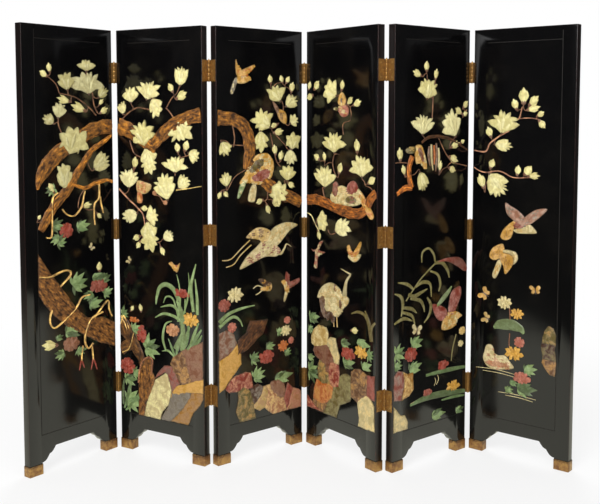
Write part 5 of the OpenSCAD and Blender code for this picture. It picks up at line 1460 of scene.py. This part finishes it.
def rounded(outline, steps=4):
    """A smooth closed curve through an outline's corners."""
    count, points = len(outline), []
    for i in range(count):
        a, b, c, d = [np.array(outline[(i + k) % count], float) for k in (-1, 0, 1, 2)]
        for t in np.linspace(0, 1, steps, endpoint=False):
            points.append(tuple(0.5 * (2 * b + (c - a) * t + (2 * a - 5 * b + 4 * c - d) * t * t
                                       + (3 * b - a - 3 * c + d) * t ** 3)))
    return points


def grown(outline, by):
    """An outline pushed out a little from its middle."""
    middle = np.mean(outline, axis=0)
    return [tuple(p + (p - middle) / np.linalg.norm(p - middle) * by) for p in np.array(outline, float)]


def rows_over(low, high, step_x, step_y, jitter, dice):
    """Points in rows over a rectangle, each moved a little."""
    return [(x + dice.uniform(-jitter, jitter), y + dice.uniform(-jitter, jitter))
            for x in np.arange(low[0], high[0], step_x) for y in np.arange(low[1], high[1], step_y)]


def closed_below(flat, corners, triangles, outline):
    """The faces of a closed slab: the given ones, a wall round them and a flat underside."""
    faces, alone = [tuple(t) for t in triangles], {}
    for face in faces:
        for a, b in zip(face, face[1:] + face[:1]):
            if alone.pop((b, a), None) is None:
                alone[(a, b)] = True
    below = {}
    edges = list(alone)
    for a, b in edges:
        for i in (a, b):
            if i not in below:
                below[i] = len(corners)
                corners.append((*flat[i], 0))
        faces.append((b, a, below[a], below[b]))
    follow, ring, at = dict(edges), [], edges[0][0]
    for _ in edges:
        ring.append(below[at])
        at = follow[at]
    if len(set(ring)) < len(ring):
        print("an outline crosses itself near", [round(v) for v in outline[0]])
    return faces + [tuple(reversed(ring))]


def slab(kind, outline, lift, seed, creases):
    """Corners, faces and heights from 0 to 1 of a slab, in millimetres."""
    feathery, bloom = kind in ("bird", "wing"), kind == "bloom"
    if bloom:
        edge_line = broken(outline, 9, 0.6, seed)
    else:
        edge_line = rounded(outline) if feathery else broken(grown(outline, 3), 7, 2.2, seed)
    closed, step = edge_line + edge_line[:1], 6 if feathery else 7
    grid = rows_over(np.min(edge_line, axis=0), np.max(edge_line, axis=0), step, step, 2, random.Random(seed))
    grid = [p for p in grid if inside(p, edge_line)]
    if grid:
        grid = [p for p, far in zip(grid, distance(grid, closed)) if far > step * 0.45]
    loop = list(range(len(edge_line)))
    flat, _, triangles, *_ = delaunay_2d_cdt([Vector(p) for p in edge_line + grid], [], [loop], 1, 1e-4)
    flat = [tuple(v) for v in flat]
    rim = np.clip(distance(flat, closed) / (9.0 if feathery else 4.5), 0, 1)
    dome = np.sqrt(np.clip(1 - (1 - rim) ** 2, 0, 1))
    ridges = np.array([noise.noise(Vector((x / 21, y / 30, seed * 3.7)))
                       + 0.5 * noise.noise(Vector((x / 8, y / 9, seed))) for x, y in flat])
    rough = 0.10 if feathery or bloom else 0.36
    edge = 0.86 if bloom and lift > SLAB_HEIGHTS[kind] else 0.45
    share = np.clip((edge + (1 - edge) * dome) * ((0.95 if bloom else 0.88) + rough * ridges), 0.15, 1.05)
    # Along a crease the relief drops more than the height does, so the paint darkens the crease: painted shade.
    if creases:
        root, ends = creases
        groove = np.exp(-(np.min([distance(flat, [root, end]) for end in ends], axis=0) / 3.2) ** 2)
        share, dome = share * (1 - 0.16 * groove), dome * (1 - 0.45 * groove)
    corners = [(x, y, lift * s) for (x, y), s in zip(flat, share)]
    faces = closed_below(flat, corners, triangles, outline)
    # The relief rises from the rim inwards, so the paint darkens the rim of every slab: painted shade.
    return corners, faces, list(np.clip(dome * (0.8 + 0.5 * ridges), 0, 1)) + [0.0] * (len(corners) - len(flat))


def slabs(stones, seed):
    """Rows of (kind, stone, second stone, outline) as drawn things. A bloom also gives its height and creases."""
    made = []
    for i, (kind, first, second, outline, *more) in enumerate(stones):
        lift, creases = more or (SLAB_HEIGHTS[kind], None)
        corners, faces, relief = slab(kind, outline, lift, seed + i, creases)
        count = len(corners)
        _, _, axes = np.linalg.svd(np.array(outline, float) - np.mean(outline, axis=0))
        along, around = axes @ np.array(corners)[:, :2].T
        made.append(draw("slab", np.array(corners) * MM, faces, relief=relief, along=along * MM,
                         around=around / 120, mottle=[0.2 if kind in SMOOTH_SLABS else 0.65] * count,
                         tint=[colour_of(first, random.Random(seed + i), 0.06)] * count,
                         second=[colour_of(second)] * count))
    return made


def feathered(stones, stone, dice):
    """Rows of small feathers over a bird, from its tail to its head."""
    kind, first, second, outline = stone
    points = np.array(outline, float)
    middle = points.mean(0)
    _, _, axes = np.linalg.svd(points - middle)
    along, span = axes[0], (points - middle) @ axes[0]
    if (points[span > 0].std(0) @ np.abs(axes[1])) < (points[span < 0].std(0) @ np.abs(axes[1])):
        along = -along
    turn = course(-along)[1]
    spots = [p for p in rows_over(points.min(0), points.max(0), 9, 8, 1.5, dice)
             if inside(p, outline) and distance([p], outline + outline[:1])[0] > 4]
    for p in sorted(spots, key=lambda p: np.dot(np.array(p) - middle, along)):
        name = second if noise.noise(Vector((p[0] / 22, p[1] / 22, 4.2))) > 0.12 else first
        stones.append(("feather", np.array(p) - facing(turn) * 3, turn + dice.uniform(-12, 12), 13, 8.5,
                       SLAB_HEIGHTS[kind] + dice.uniform(0.6, 1.4), colour_of(name, dice, 0.12)))


print("slabs can be drawn")

# %% [markdown]
# In the photograph every bud and flower hangs on a thin stalk. Their courses are too fine to read,
# so they are grown instead: the flower that is nearest to the branches is joined to them first, and
# each stalk that is added is something that the next flower may join.

# %% Stalks from the flowers to the branches
STALK_W, SHORTEST_STALK, LONGEST_STALK = 5, 4, 130


def stalks(number):
    """Thin lines that join every bud and magnolia to the nearest branch or stalk."""
    found, points = [], []
    for kind, _, line in LINES[number]:
        if kind in ("trunk", "branch", "twig"):
            for a, b in zip(np.array(line)[:-1, :2], np.array(line)[1:, :2]):
                points += [a + (b - a) * t for t in (0, 0.25, 0.5, 0.75, 1)]
    roots = [(np.array([x, z]) - facing(turn) * length * 0.45, turn) for x, z, length, _, turn in BUDS[number]]
    roots += [(np.array([x, z]) - facing(turn) * oval(w, h, turn + 180) * 0.75, turn)
              for x, z, w, h, turn, _ in MAGNOLIAS[number]]
    while roots and points:
        cloud = np.array(points)
        gaps = [np.linalg.norm(cloud - root, axis=1) for root, _ in roots]
        pick = int(np.argmin([g.min() for g in gaps]))
        root, turn = roots.pop(pick)
        gap, end = gaps[pick].min(), cloud[gaps[pick].argmin()]
        if gap < SHORTEST_STALK:
            continue
        if gap > LONGEST_STALK:
            break
        start = root - facing(turn) * min(gap * 0.35, 22)
        bend = (start + end) / 2 + np.array([-(end - start)[1], (end - start)[0]]) * 0.12
        found.append(("twig", "twig", [(*root, STALK_W - 1), (*start, STALK_W), (*bend, STALK_W),
                                       (*end, STALK_W + 1)]))
        points += [root, start, (start + bend) / 2, bend, (bend + end) / 2]
    return found


print("stalks on panel 2:", len(stalks(2)))

# %% The carving of every panel
PIECES = {"wood": 40, "blossoms": 80, "foliage": 0, "flowers": 0, "stones": 60}  # piece: the seed of its slabs
# Painted shade: the blossoms of panel 1, which faces away from the key lamp, are painted darker by this share.
PANEL_1_PAINTED_SHADE = 0.72
BESIDES = {"mottle": 0.0, "second": (0.1, 0.05, 0.02, 1), "along": 0.0, "around": 0.0}


def board(number):
    """The matrix from the drawing (across, up, off the lacquer) to the row frame."""
    along, back = directions(number)
    return matrix_of([along, UP, -back], places[number].translation)


def fill_missing(thing):
    """Gives a drawn thing every attribute that its paint reads, so that joined parts agree."""
    for key, value in BESIDES.items():
        if key not in thing.data.attributes:
            store(thing.data, key, [value] * len(thing.data.vertices))
    return thing


def laid_out(number):
    """The raised stones and the outlines of the slabs of one panel, by piece."""
    dice = random.Random(100 + number)
    stones, outlines = [{name: [] for name in PIECES} for _ in range(2)]

    def each(make, name, table, *more):
        return [make(stones[name], item, stands_over(number, *item[:2]), dice, *more) for item in table[number]]

    outlines["blossoms"] = each(magnolia, "blossoms", MAGNOLIAS, PANEL_1_PAINTED_SHADE if number == 1 else 1)
    each(bud, "blossoms", BUDS)
    each(peony, "flowers", PEONIES)
    each(lobed_leaf, "foliage", LEAVES)
    for stone in STONES[number]:
        outlines["wood" if stone[0] == "wood" else "stones"].append(stone)
        if stone[0] in ("bird", "wing"):
            feathered(stones["stones"], stone, dice)
    each(insect, "stones", INSECTS)
    return stones, outlines


total = 0
for number in PANELS:
    stones, outlines = laid_out(number)
    for name, seed in PIECES.items():
        lines = [line for line in LINES[number] + stalks(number) if KINDS[line[0]][0] == name]
        things = scattered(stones[name], paints[name], number) + swept(lines, number, paints[name])
        things += slabs(outlines[name], seed * number)
        piece = settle(join([fill_missing(t) for t in things]), f"panel_{number}_{name}", f"panel_{number}",
                       paints[name], [f"panel_{number}_stone_relief"], board(number), smooth=38)
        total += len(piece.data.polygons)
    print("panel", number, "carved, faces so far", total)
for thing in units.values():
    bpy.data.objects.remove(thing)
